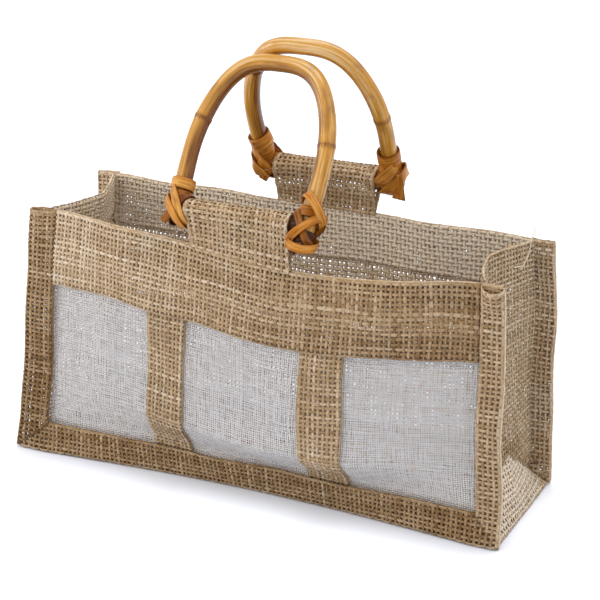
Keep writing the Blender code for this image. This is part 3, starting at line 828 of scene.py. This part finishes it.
def back_hem_painted_light(points):
    """The hem's inner ply is paler than the outer one, the more so to the right: painted light inside the
    bag.
    """
    x, y, z = points.T
    middle = np.full(len(x), depth(1, BACK_OUTER + (BACK_HEM_THICK - PLY) / 2))
    between = standing(stacked(x, middle, z))[:, 1]
    return np.where(y < between, BACK_HEM_PAINTED_LIGHT + BACK_HEM_PAINTED_LIGHT_PER_METRE * x, 0)


def back_panel(finish):
    """The plain back, one ply with a deep hem folded in along its top."""
    hem = BACK_OUTER + BACK_HEM_THICK - PLY
    rows = [[(BACK_FOOT, BACK_OUTER)], bend(HEIGHT, BACK_OUTER, hem, 1), [(HEIGHT - BACK_HEM_HEIGHT, hem)]]
    half = SEAM_HALF + BACK_SIDE_LAP
    looks = {"shade": back_hem_painted_light, "hair_share": BACK_HAIR_SHARE}
    wall("back_cloth", "back_panel", 1, rows, (-half, half), BACK_JUTE, finish, **looks)


BORDER_TURN_IN = 9.0 * MM
BORDER_BACK_LAP = 1.4 * MM
MITRE_LAP = 1.2 * MM
MITRE_DIP = 1.5 * MM
MITRE_DIP_RUN = 3.2 * MM
TUBE_SWELL = 3.4 * MM
TUBE_SAG = 2.2 * MM
TUBE_HEIGHT = 15 * MM
TUBE_ROUND_SHARE = 0.6
EDGE_ROW = 0.5 * MM
LEFT_BORDER_FADE_PER_METRE = 2.2


def left_border_tone(points):
    """The front left border grows paler upwards."""
    return LEFT_BORDER_FADE_PER_METRE * (points[:, 2] - HEIGHT / 2)


def border_path(width, back_reach):
    """Round a border: turned in at its inner edge, over its front, round the outer edge and up its back."""
    front, back = -FLANGE_HALF + HALF_PLY, FLANGE_HALF - HALF_PLY
    turned = front + FOLD_GAP
    rows = [
        [(width - BORDER_TURN_IN, turned)],
        bend(width, turned, front, 1),
        bend(HALF_PLY, front, back, -1),
        [(back_reach, back)],
    ]
    return folded(rows)


def round_fold(path, limit):
    """How far a cross yarn may run each way from the outer fold, to stay within a distance of it."""
    measured = path_length(path)
    fold, inner = int(np.argmin(path[:, 0])), int(np.argmax(path[:, 0]))
    begin = np.interp(limit, path[inner : fold + 1, 0][::-1], measured[inner : fold + 1][::-1])
    begin = np.where(limit >= path[inner, 0], 0, begin)
    finish = np.interp(limit, path[fold:, 0], measured[fold:])
    return begin, finish


def mitred(offset, beyond):
    """The outer ply dips in under the mitre, by a soft step of the distance beyond it."""
    outer = np.clip(-offset / (FLANGE_HALF - HALF_PLY), 0, 1)
    return offset + MITRE_DIP * outer * (1 - eased(beyond, 0, MITRE_DIP_RUN))


# The side borders: width, how far the tube at the top stands open, weave, shade, seed
SIDE_BORDERS = {
    ("front", "left"): (LEFT_BORDER_WIDTH, 0.3, DARK_JUTE, left_border_tone, 20),
    ("front", "right"): (RIGHT_BORDER_WIDTH, 1.0, JUTE, even, 21),
    ("back", "left"): (FLANGE_WIDTH, 0, DENSE_JUTE, even, 23),
    ("back", "right"): (FLANGE_WIDTH, 0.3, DENSE_JUTE, even, 24),
}


def side_border(face, way, finish):
    """A folded border up one end of a face. Its foot is cut along the mitre, and its top is an open
    tube, whose front swells and sags by a power of a sine across its width."""
    side, end = SIDES[face], ENDS[way]
    width, open_share, weave, shade, seed = SIDE_BORDERS[face, way]
    path, length = border_path(width, LENGTH / 2 - GUSSET_X + BORDER_BACK_LAP)
    slope = BORDER_HEIGHT / width

    def surface(distance, z):
        inwards, offset = along_path(path, distance)
        hidden = half_yarn(offset, HALF_PLY - FLANGE_HALF)
        swell = np.sin(math.pi * np.clip(inwards / width, 0, 1)) ** TUBE_ROUND_SHARE
        swell = swell * eased(z, HEIGHT - TUBE_HEIGHT, HEIGHT) * open_share * (1 - hidden / HALF_PITCH)
        z = z + hidden * eased(HEIGHT - z, 0, TUBE_HEIGHT) - TUBE_SAG * swell
        return standing(stacked(end * (LENGTH / 2 - inwards), depth(side, offset - TUBE_SWELL * swell), z))

    rng = np.random.default_rng(seed)
    fold = path_length(path)[np.argmin(path[:, 0])]
    columns = beside(spaced(0, length, weave, rng), fold, weave["pitch"], length)
    rows = np.append(spaced(HALF_PLY, HEIGHT - EDGE_ROW, weave, rng), HEIGHT - EDGE_ROW)
    floor = along_path(path, columns)[0] * slope
    warp = (columns, floor, np.full(len(columns), HEIGHT))
    weft = (rows, *round_fold(path, rows / slope))
    up = np.arange(HALF_PLY, HEIGHT, PIPING_STEP)
    options = {"extra": (piping(surface, np.full(len(up), fold), up, PIPING_TONE, rng),), "shade": shade}
    node = f"{face}_{way}_border"
    obj = woven(node + "_cloth", surface, -side * end, warp, weft, weave, finish, rng, **options)
    dress_bag(obj, node)


BORDER_BACK_HEIGHT = 9.0 * MM
BOTTOM_BORDERS = {"front": (DARK_JUTE, 22), "back": (JUTE, 25)}


def bottom_border(face, finish):
    """A folded border along the foot of a face. Its ends run in under the mitred side borders."""
    side = SIDES[face]
    weave, seed = BOTTOM_BORDERS[face]
    path, length = border_path(BORDER_HEIGHT, BORDER_BACK_HEIGHT)
    left_slope, right_slope = (SIDE_BORDERS[face, way][0] / BORDER_HEIGHT for way in ENDS)
    reach = LENGTH / 2 - HALF_PLY

    def beyond(x, z):
        return LENGTH / 2 - z * np.where(x < 0, left_slope, right_slope) - np.abs(x)

    def surface(x, distance):
        z, offset = along_path(path, distance)
        return standing(stacked(x, depth(side, mitred(offset, beyond(x, z))), z))

    rng = np.random.default_rng(seed)
    columns = spaced(-reach, reach, weave, rng)
    rows = spaced(0, length, weave, rng)
    highest = (beyond(columns, 0) + MITRE_LAP) / np.where(columns < 0, left_slope, right_slope)
    heights = along_path(path, rows)[0]
    begin = np.maximum(heights * left_slope - LENGTH / 2 - MITRE_LAP, -reach)
    end = np.minimum(LENGTH / 2 - heights * right_slope + MITRE_LAP, reach)
    warp, weft = (columns, *round_fold(path, highest)), (rows, begin, end)
    node = face + "_bottom_border"
    obj = woven(node + "_cloth", surface, side, warp, weft, weave, finish, rng)
    dress_bag(obj, node)


GUSSET_HEM = 18 * MM
GUSSET_HEM_GAP = 1.1 * MM
HALF_STRIP = DEPTH / 2 - FLANGE_HALF - CLEARANCE
STRIP_REACH = LENGTH / 2 - STRIP_INSET - HALF_PLY
# Painted light on the gusset's upward facet and on the left gusset's inner face, and painted shade just
# above the facet
FACET_PAINTED_LIGHT = 0.46
FACET_PAINTED_LIGHT_RUN = 1.5 * MM
FACET_SHADE = 0.16
FACET_SHADE_RUN = 22 * MM
RIGHT_GUSSET_TONE = -0.04
LEFT_GUSSET_PAINTED_LIGHT = 0.30


def gusset_painted_light_and_shade(points):
    """Painted light and shade: the facet at the foot, which faces upwards, is paler than the rest, up to
    its tent-shaped top edge, and the cloth just above it is darker. The left side is paler than the
    right: painted light on its inner face."""
    x, y, z = points.T
    edge = (FACET_HEIGHT - FACET_EDGE_HEIGHT) * (1 - np.abs(y) / HALF_STRIP) + FACET_EDGE_HEIGHT
    whole = np.where(x < 0, LEFT_GUSSET_PAINTED_LIGHT, RIGHT_GUSSET_TONE)
    facet = 1 - eased(z, edge - FACET_PAINTED_LIGHT_RUN, edge)
    shaded = (1 - facet) * (1 - eased(z, edge, edge + FACET_SHADE_RUN))
    return whole + FACET_PAINTED_LIGHT * facet - FACET_SHADE * shaded


def gusset(way, finish):
    """One side of the bag: creased inwards, flat in a facet at its foot, its top folded in."""
    end = ENDS[way]
    rows = [[(HALF_PLY, 0)], bend(HEIGHT, 0, GUSSET_HEM_GAP, 1), [(HEIGHT - GUSSET_HEM, GUSSET_HEM_GAP)]]
    path, length = folded(rows)

    def surface(y, distance):
        z, inwards = along_path(path, distance)
        x = strip_side_x(z, y / HALF_STRIP) - HALF_PLY - inwards
        return standing(stacked(end * x, y, z))

    sizes = (-HALF_STRIP, HALF_STRIP), (0, length)
    obj = cloth(way + "_gusset_cloth", surface, end, *sizes, DENSE_JUTE, finish, shade=gusset_painted_light_and_shade)
    dress_bag(obj, "gusset_strip")


def base(finish):
    """The bottom of the bag: flat on the floor and rising to the long seams."""

    def surface(x, y):
        z = strip_base_z(x, y / HALF_STRIP) + HALF_PLY
        return standing(stacked(x, y, z))

    sizes = (-STRIP_REACH, STRIP_REACH), (-HALF_STRIP, HALF_STRIP)
    obj = cloth("base_cloth", surface, -1, *sizes, DENSE_JUTE, finish, hair_share=0)
    dress_bag(obj, "gusset_strip")


# The tabs

TAB_TUCK = 2.5 * MM
TAB_PLY_HALF_GAP = 0.62 * MM
TAB_WIDEST = 25.2 * MM
TAB_FLARE = 2.0 * MM
TAB_FLARE_START = 15 * MM
TAB_ARC_POINTS = 15


def rim_ends(side, bar):
    """The two ends of the line that a tab turns about, just above the settled rim."""
    thick = FRONT_HEM_THICK if side < 0 else BACK_HEM_THICK
    outer = -FLANGE_HALF if side < 0 else -FLANGE_HALF + PLY + CLEARANCE
    ends = [(bar[0] + end * TAB_HALF_WIDTH, depth(side, outer + thick / 2), HEIGHT) for end in (-1, 1)]
    return settled(np.array(ends)) + (0, 0, TAB_FOOT_RADIUS + CLEARANCE)


def tab_path(reach):
    """The loop seen from its side: up one ply, round the bar and down the other."""
    tilt = math.asin((TAB_TOP_RADIUS - TAB_PLY_HALF_GAP) / reach)
    angle = np.linspace(math.pi + tilt, -tilt, TAB_ARC_POINTS)
    arc = stacked(reach + TAB_TOP_RADIUS * np.sin(angle), TAB_TOP_RADIUS * np.cos(angle))
    low = [(-TAB_TUCK, -TAB_PLY_HALF_GAP), (0, -TAB_PLY_HALF_GAP)]
    return folded([low, arc, [(place, -offset) for place, offset in low[::-1]]])


def tab(face, finish):
    """A loop of jute from the rim round the crossbar: two straight plies joined by an arc, which is
    wider near both sides, where the loop is slack."""
    bar, yaw = BAR_PLACES[face], math.radians(YAWS_DEG[face])
    left, right = rim_ends(SIDES[face], bar)
    bar_way = np.array([math.cos(yaw), math.sin(yaw), 0])
    reach = float(np.linalg.norm((np.array(bar) - (left + right) / 2)[1:]))
    path, length = tab_path(reach)

    def surface(x, distance):
        height, across = along_path(path, distance)
        x = x + HALF_PITCH * eased(-across, 0, TAB_TOP_RADIUS) * inside(x, TAB_WIDEST)
        share = (x / TAB_HALF_WIDTH + 1) / 2
        foot = left + (right - left) * share[:, None]
        top = np.array(bar) + bar_way * x[:, None]
        rise = (top - foot) * (0, 1, 1)
        stretch = np.linalg.norm(rise, axis=1)[:, None]
        rise = rise / stretch
        sideways = stacked(np.zeros(len(x)), rise[:, 2], -rise[:, 1])
        slack = TAB_FLARE * eased(np.abs(x), TAB_FLARE_START, TAB_WIDEST) * eased(height, 0, reach)
        across = across * (1 + slack / TAB_TOP_RADIUS)
        up = (height / reach)[:, None]
        return foot + (top - foot) * (1, 0, 0) * up + sideways * across[:, None] + rise * stretch * up

    node = face + "_tab"
    sizes = (-TAB_WIDEST, TAB_WIDEST), (0, length)
    obj = cloth(node + "_cloth", surface, 1, *sizes, TAB_JUTE, finish, edged=True)
    middle, rise = (left + right) / 2, np.array(bar) - (left + right) / 2
    rise /= np.linalg.norm(rise)
    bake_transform(obj)
    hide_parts(node)


# The handles

ARCH_STATIONS = 181
CANE_SIDES = 20
NODE_SWELL = 0.32 * MM
NODE_WIDTH = 0.9 * MM
NODE_DARK_SHARE = 0.35
# Painted light on the arch's top, growing by a power of the height
TOP_PAINTED_LIGHT_SHARE = 0.08
TOP_PAINTED_LIGHT_POWER = 4
# Painted shade on the side of a cane that faces the arch's hollow
INNER_PAINTED_SHADE_SHARE = 0.46
CANE_TONE = 0.50
CANE_WAVE = 0.10 * MM
CANE_WAVE_LENGTH = 31 * MM
# Where the arch's joint rings are, in metres along it from its left foot
RING_PLACES = {"front": (0.045, 0.1435), "back": (0.060, 0.145)}


def handle_pose(face):
    """The handle's turn and place: its arch leans until its top is at the tip's depth."""
    bar = BAR_PLACES[face]
    lean = math.asin((bar[1] - TIP_DEPTHS[face]) / ARCH_HEIGHT)
    turn = Matrix.Rotation(math.radians(YAWS_DEG[face]), 3, "Z") @ Matrix.Rotation(lean, 3, "X")
    return np.array(turn), np.array(bar)


def placed(points, pose):
    """Points of the upright handle at the origin, turned and moved to where it stands."""
    turn, bar = pose
    return points @ turn.T + bar


def arch_half_width(height):
    """Half the arch's width between its middles, at heights above the crossbar."""
    share = np.clip(np.asarray(height) / ARCH_HEIGHT, 0, 1)
    swell = ARCH_HALF_WIDTH + ARCH_SWELL * np.sin(math.pi * share) ** 2
    return swell * (1 - share**ARCH_ROUND_SHARE) ** (1 / ARCH_ROUND_SHARE)


def arch_line():
    """The arch's middle line: height is a power of a sine, and half the width follows a rounded curve."""
    angle = np.linspace(0, math.pi, ARCH_STATIONS)
    height = ARCH_HEIGHT * np.sin(angle) ** (2 / ARCH_ROUND_SHARE)
    x = -np.sign(np.cos(angle)) * arch_half_width(height)
    line = stacked(x, np.zeros(len(x)), height)
    foot = np.array([ARCH_HALF_WIDTH, 0, -ARCH_FOOT])
    return np.concatenate([[foot * (-1, 1, 1)], line, [foot]])


def cane_tube(line, radius, tone, pose, seed):
    """A round cane along a line, a little uneven, darker on the side that faces its hollow: painted shade.
    """
    distance = path_length(line)
    phase = np.random.default_rng(seed).uniform(0, 2 * math.pi)
    wave = CANE_WAVE * np.sin(2 * math.pi * distance / CANE_WAVE_LENGTH + phase)
    turned = placed(line, pose)
    halves = radius + wave, radius - wave / 2
    along = distance / MM + FIBRE_JUMP * (seed + 1)
    *mesh, fibre, tones = rod(turned, pose[0] @ (0, 1, 0), *halves, CANE_SIDES, tone, along)
    return *mesh, fibre, tones - INNER_PAINTED_SHADE_SHARE * np.clip(fibre[:, 1], 0, 1)


def cane(face, part, line, radius, tone, pose, finish, seed):
    """One cane of a handle, as a piece that stands for its solid."""
    node = f"{face}_{part}"
    obj = mesh_piece(node + "_cane", [cane_tube(line, radius, tone, pose, seed)], finish)
    dress(obj, face + "_handle", node)


def arch(face, pose, finish, seed):
    """A bent cane with its natural joint rings, each a bump by a bell curve. Its top is paler: painted
    light.
    """
    line = arch_line()
    distance = path_length(line)[:, None]
    rings = np.exp(-(((distance - np.array(RING_PLACES[face])) / NODE_WIDTH) ** 2)).sum(axis=1)
    radius = CANE_RADIUS + NODE_SWELL * rings
    pale = TOP_PAINTED_LIGHT_SHARE * (line[:, 2] / ARCH_HEIGHT) ** TOP_PAINTED_LIGHT_POWER
    cane(face, "arch", line, radius, CANE_TONE - NODE_DARK_SHARE * rings + pale, pose, finish, seed)


BAR_STATIONS = 25
BAR_GAP = 0.4 * MM


def crossbar(face, pose, finish, seed):
    """The straight cane between the arch's legs."""
    half = ARCH_HALF_WIDTH - CANE_RADIUS - BAR_GAP
    x = np.linspace(-half, half, BAR_STATIONS)
    line = stacked(x, np.zeros(len(x)), np.zeros(len(x)))
    cane(face, "crossbar", line, BAR_RADIUS, CANE_TONE, pose, finish, seed)


PEEL_THICK = 0.9 * MM
PEEL_SIDES = 16
PEEL_ROUND_SHARE = 0.5
PEEL_EDGE_SHARE = 0.85
# Painted shade along the peel's edges
PEEL_EDGE_PAINTED_SHADE_SHARE = 0.5
LOOP_STATIONS = 61
LOOP_START_SHARE = -0.25
LOOP_RUN_STEEPNESS = 2
LOOP_LAP_SHARE = 0.05
LOOP_GROWTH = 0.6 * MM
# The bands of each lashing, from the corner's middle outwards, in millimetres but for the tilt in
# degrees and the tone: tilt, middle along the band, shift across it, how far its front half stands
# off across it, half its length, half its depth, width, tone
# The first band of each near lashing is a dark core in the hollow under the corner: its low tone is painted
# shade
NEAR_LEFT_BANDS = (
    (0, 0, -4.4, 0, 3.7, 3.7, 5.4, 0.10),
    (90, 0, 4.0, 0, 4.3, 4.3, 4.6, 0.05),
    (119, 0, 1.5, 0, 7.8, 4.7, 4.2, 0.35),
    (0, 0, 4.6, 0, 4.6, 4.5, 4.6, 0.30),
    (59, 0, 2.1, 0, 9.6, 5.5, 3.9, 0.75),
    (50, -2.0, -1.5, 0, 8.0, 5.6, 3.3, 0.65),
    (0, 0.1, 9.9, 0, 4.9, 4.9, 5.0, 0.70),
)
NEAR_RIGHT_BANDS = (
    (0, 0, -4.4, 0, 3.7, 3.7, 5.4, 0.02),
    (90, 0, 4.0, 0, 4.3, 4.3, 4.6, 0.0),
    (0, 0.2, 6.4, 0, 4.5, 4.5, 4.6, 0.40),
    (122, 0, 0.4, 0, 8.6, 4.9, 3.6, 0.30),
    (-10, 1.2, -7.0, -3.0, 6.2, 5.4, 3.8, 0.60),
    (43, -0.2, -1.6, 0, 8.8, 6.1, 3.7, 0.50),
    (-44, -4.4, 6.8, 3.2, 7.6, 6.6, 4.0, 0.62),
)
FAR_INNER_BANDS = (
    (90, 0, 4.4, 0, 4.5, 4.5, 5.6, 0.45),
    (0, 0, 3.4, 0, 4.5, 4.5, 5.4, 0.50),
    (0, 0, -2.0, 0, 4.4, 4.4, 4.6, 0.50),
)
FAR_LEFT_BANDS = (
    *FAR_INNER_BANDS,
    (122, -0.3, 1.5, 0, 6.0, 4.8, 6.0, 0.55),
    (0, 0, 8.6, 0, 4.7, 4.6, 6.2, 0.62),
    (-14, -3.3, 13.2, 0, 4.9, 4.8, 6.4, 0.62),
    (55, 1.8, 3.4, 0, 6.5, 5.2, 6.4, 0.60),
    (52, -0.4, -1.9, 0, 6.8, 5.3, 6.2, 0.66),
)
FAR_RIGHT_BANDS = (
    *FAR_INNER_BANDS,
    (122, -0.3, 1.5, 0, 6.2, 4.8, 6.0, 0.55),
    (0, 0, 8.0, 0, 4.6, 4.5, 6.0, 0.55),
    (0, 0.2, 13.0, 0, 4.9, 4.8, 6.4, 0.58),
    (47, 2.4, 3.9, 0, 8.2, 5.4, 6.4, 0.68),
    (46, 0, -1.8, 0, 8.2, 5.5, 6.2, 0.62),
)
# The free ends: where each starts and stops, its depth in front of the middle, its width at both, tone
NEAR_LEFT_TAIL = ((-0.6, -3.0), (1.9, -8.6), 5.1, 3.8, 3.6, 0.35)
NEAR_RIGHT_TAIL = ((0.8, -6.0), (-2.2, -12.6), 3.0, 3.6, 3.2, 0.10)
FAR_LEFT_TAIL = ((-4.0, 1.0), (0.5, -6.0), 4.9, 4.6, 4.2, 0.50)
FAR_RIGHT_TAIL = ((6.2, 7.5), (4.2, -6.9), 5.0, 2.4, 6.4, 0.55)
LASHINGS = {
    ("front", "left"): (NEAR_LEFT_BANDS, NEAR_LEFT_TAIL),
    ("front", "right"): (NEAR_RIGHT_BANDS, NEAR_RIGHT_TAIL),
    ("back", "left"): (FAR_LEFT_BANDS, FAR_LEFT_TAIL),
    ("back", "right"): (FAR_RIGHT_BANDS, FAR_RIGHT_TAIL),
}


def peel_loop(band, end, pose, seed):
    """A strip wound once round the corner: a long loop in a tilted plane. Its upper outer end lies
    flat on the leg and its lower inner end flat under the bar, if it runs that way."""
    tilt_deg, *sizes, tone = band
    tilt = math.radians(tilt_deg)
    middle, shift, bulge, half, deep, width = (MM * size for size in sizes)
    begin, stop = LOOP_START_SHARE - LOOP_LAP_SHARE, LOOP_START_SHARE + 1 + LOOP_LAP_SHARE
    turn = np.linspace(begin, stop, LOOP_STATIONS)
    angle = 2 * math.pi * turn
    cosine, sine = np.cos(angle), np.sin(angle)
    deep = deep + LOOP_GROWTH * (turn - turn[0])
    run = half - deep
    along = middle + run * np.clip(LOOP_RUN_STEEPNESS * cosine, -1, 1) + deep * cosine
    way = np.array([math.cos(tilt), 0, math.sin(tilt)])
    across = np.array([-math.sin(tilt), 0, math.cos(tilt)])
    front = np.array([0, -1, 0])
    corner = np.array([ARCH_HALF_WIDTH, 0, 0])
    line = corner + along[:, None] * way + (shift + bulge * sine)[:, None] * across
    line += (deep * sine)[:, None] * front
    hugs = 0 < tilt < math.pi / 2
    high = np.array([1, 0, 0]) if hugs else way
    low = np.array([0, 0, -1]) if hugs else -way
    ends = np.where(cosine[:, None] > 0, high, low) * np.abs(cosine)[:, None]
    return peel_strip(line, ends + sine[:, None] * front, width, end, pose, tone, seed)


TAIL_STATIONS = 13
TAIL_LIFT = 0.8 * MM


def peel_tail(tail, end, pose, seed):
    """A free end of peel: a straight strip that lifts a little by the square of its length."""
    start, stop, deep, start_width, stop_width, tone = tail
    share = np.linspace(0, 1, TAIL_STATIONS)
    points = np.array(start) + share[:, None] * (np.array(stop) - np.array(start))
    y = -deep * MM - TAIL_LIFT * share**2
    line = stacked(ARCH_HALF_WIDTH + points[:, 0] * MM, y, points[:, 1] * MM)
    width = (start_width + share * (stop_width - start_width)) * MM
    return peel_strip(line, np.array([0, -1, 0]), width, end, pose, tone, seed)


def peel_strip(line, outward, width, end, pose, tone, seed):
    """A flat strip of peel along a line, mirrored to its end of the handle and placed. It is darker
    along its edges: painted shade in the gaps between the bands."""
    mirror = np.array([end, 1, 1])
    turned = placed(line * mirror, pose)
    flat = (outward * mirror) @ pose[0].T
    along = path_length(line) / MM + FIBRE_JUMP * seed
    looks = PEEL_SIDES, tone, along, PEEL_ROUND_SHARE
    *mesh, fibre, tones = rod(turned, flat, width / 2, PEEL_THICK / 2, *looks)
    edge = np.clip((np.abs(fibre[:, 1]) - PEEL_EDGE_SHARE) / (1 - PEEL_EDGE_SHARE), 0, 1)
    return *mesh, fibre, tones - PEEL_EDGE_PAINTED_SHADE_SHARE * edge


def lashing(face, way, pose, finish, seed):
    """The peel that binds the arch, its crossbar and the loop's corner together."""
    bands, tail = LASHINGS[face, way]
    parts = [peel_tail(tail, ENDS[way], pose, seed)]
    for number, band in enumerate(bands):
        parts.append(peel_loop(band, ENDS[way], pose, seed + number))
    node = f"{face}_{way}_lashing"
    dress(mesh_piece(node + "_peel", parts, finish), face + "_handle", node)


# The studio

CLIP_START = 0.01
# The soft lights: place, width in metres, power in watts
LIGHTS = {
    "key": ((-0.75, -0.95, 1.15), 0.5, 2.2),
    "left": ((-1.3, -0.6, 0.45), 0.6, 5.0),
    "right": ((1.05, 0.15, 0.95), 0.8, 1.5),
    "top": ((0.10, 0.25, 1.45), 0.7, 4.5),
}
LIGHT_COLOUR = "#FFFAF3"
AIM = (0.0, 0.0, 0.08)
WORLD_STRENGTH = 0.78
FLOOR_HALF = 3.0
FLOOR_DROP = 0.1 * MM
FLOOR_LIFT = 0.5
SHADOW_REACH = 24 * MM
SHADOW_POWER = 2.0
FLOOR_SURFACE = {"Roughness": 1.0, "Specular IOR Level": 0.0}


def stood(name, data, place, turn):
    """A camera or a light as an object, with its place and turn."""
    obj = new_object(name, data)
    obj.matrix_world = Matrix.Translation(place) @ Matrix(turn.tolist()).to_4x4()
    return obj


def camera():
    """The camera stands and looks as the photograph's did."""
    data = bpy.data.cameras.new("camera")
    data.lens = LENS_MM
    data.sensor_width = SENSOR_MM
    data.clip_start = CLIP_START
    turn = stacked(CAMERA_RIGHT, -np.array(CAMERA_DOWN), -np.array(CAMERA_AHEAD))
    bpy.context.scene.camera = stood("camera", data, CAMERA_PLACE, turn)


def area_light(name, place, size, watts):
    """A soft round lamp that faces the bag."""
    data = bpy.data.lights.new(name, "AREA")
    data.shape = "DISK"
    data.size = size
    data.energy = watts
    data.color = linear(LIGHT_COLOUR)[:3]
    stood(name, data, place, aimed(np.array(AIM) - np.array(place)))


def aimed(ahead):
    """A turn whose -Z points ahead and whose X is level."""
    back = -ahead / np.linalg.norm(ahead)
    right = np.cross((0, 0, 1), back)
    right /= np.linalg.norm(right)
    return stacked(right, np.cross(back, right), back)


def seen(tree):
    """1 for what the camera sees, straight or in a shine, and 0 for light on its way."""
    path = add(tree, "ShaderNodeLightPath")
    rays = {0: path.outputs["Is Camera Ray"], 1: path.outputs["Is Glossy Ray"]}
    return add(tree, "ShaderNodeMath", rays, operation="MAXIMUM").outputs[0]


def world():
    """Even white light, and plain white where the camera looks past the floor."""
    made = bpy.data.worlds.new("studio")
    bpy.context.scene.world = made
    made.use_nodes = True
    tree = made.node_tree
    span = {"Value": seen(tree), "To Min": WORLD_STRENGTH, "To Max": 1.0}
    strength = add(tree, "ShaderNodeMapRange", span)
    background = {"Color": linear("#FFFFFF"), "Strength": strength.outputs[0]}
    feed(tree, tree.nodes["Background"], background)


def floor():
    """A matt white floor. For the camera it fades to plain white but near what stands on it, so that
    it keeps the contact shadow."""
    mesh = bpy.data.meshes.new("floor")
    ways = ((-1, -1), (1, -1), (1, 1), (-1, 1))
    corners = [(x * FLOOR_HALF, y * FLOOR_HALF, -FLOOR_DROP) for x, y in ways]
    mesh.from_pydata(corners, [], [(0, 1, 2, 3)])
    made, tree, shader = bare_material("white paper")
    open_share = add(tree, "ShaderNodeAmbientOcclusion", {"Distance": SHADOW_REACH}).outputs["AO"]
    steep = add(tree, "ShaderNodeMath", {0: open_share, 1: SHADOW_POWER}, operation="POWER")
    near = add(tree, "ShaderNodeMath", {0: steep.outputs[0], 1: seen(tree)}, operation="MULTIPLY")
    lift = add(tree, "ShaderNodeMapRange", {"Value": near.outputs[0], "To Min": 0.0, "To Max": FLOOR_LIFT})
    colours = {"Base Color": linear("#ECF2FF"), "Emission Color": linear("#FFFFFF")}
    feed(tree, shader, FLOOR_SURFACE | colours | {"Emission Strength": lift.outputs[0]})
    mesh.materials.append(made)
    new_object("floor", mesh)


# The loose thread at the back right corner, by points along it from the seam outwards
THREAD_POINTS = (
    (0.1046, 0.0132, 0.1095),
    (0.1066, 0.0195, 0.1088),
    (0.1078, 0.0245, 0.1139),
    (0.1077, 0.0262, 0.1194),
    (0.1081, 0.0302, 0.1238),
)
THREAD_STATIONS = 41
THREAD_RADIUS = 0.26 * MM
THREAD_CURL = 0.25 * MM
THREAD_TONE = 1.1
# The thread's waves: which way, radians over its length, radians at its start
THREAD_WAVES = ((0, 9, 0), (2, 7, 1))


def loose_thread(finish):
    """One thread that has come out of the seam: a line through its points, curled by two sines."""
    points = np.array(THREAD_POINTS)
    at, share = np.linspace(0, 1, len(points)), np.linspace(0, 1, THREAD_STATIONS)
    line = stacked(*[np.interp(share, at, column) for column in points.T])
    for way, turn, start in THREAD_WAVES:
        line[:, way] += THREAD_CURL * np.sin(turn * share + start)
    thread = rod(line, (0, -1, 0), THREAD_RADIUS, THREAD_RADIUS, JUTE["sides"], THREAD_TONE, share)
    dress(mesh_piece("loose_thread", [thread], finish), "bag", "back_right_border")


def build_bag(jute, muslin):
    front_band(jute)
    for way in ENDS:
        strap(way, jute)
    window_cloth(muslin)
    back_panel(jute)
    for way in ENDS:
        gusset(way, jute)
    base(jute)
    loose_thread(jute)
    for face in SIDES:
        for way in ENDS:
            side_border(face, way, jute)
        bottom_border(face, jute)
    for face in SIDES:
        tab(face, jute)


HANDLE_SEEDS = {"front": 40, "back": 50}
LASHING_SEED_STEPS = {"left": 4, "right": 6}


def build_handles(varnished, peel):
    for face, seed in HANDLE_SEEDS.items():
        pose = handle_pose(face)
        arch(face, pose, varnished, seed)
        crossbar(face, pose, varnished, seed + 1)
        for way, step in LASHING_SEED_STEPS.items():
            lashing(face, way, pose, peel, seed + step)


def main():
    bpy.context.scene.view_settings.view_transform = "Standard"
    camera()
    for name, (place, size, watts) in LIGHTS.items():
        area_light(name, place, size, watts)
    world()
    floor()
    jute = finish_jute()
    muslin = finish_muslin()
    varnished = finish_cane("varnished cane", CANE_LOOK, CANE_SURFACE, CANE_SCORCH)
    peel = finish_cane("cane peel", PEEL_LOOK, PEEL_SURFACE, PEEL_SCORCH)
    build_bag(jute, muslin)
    build_handles(varnished, peel)


main()
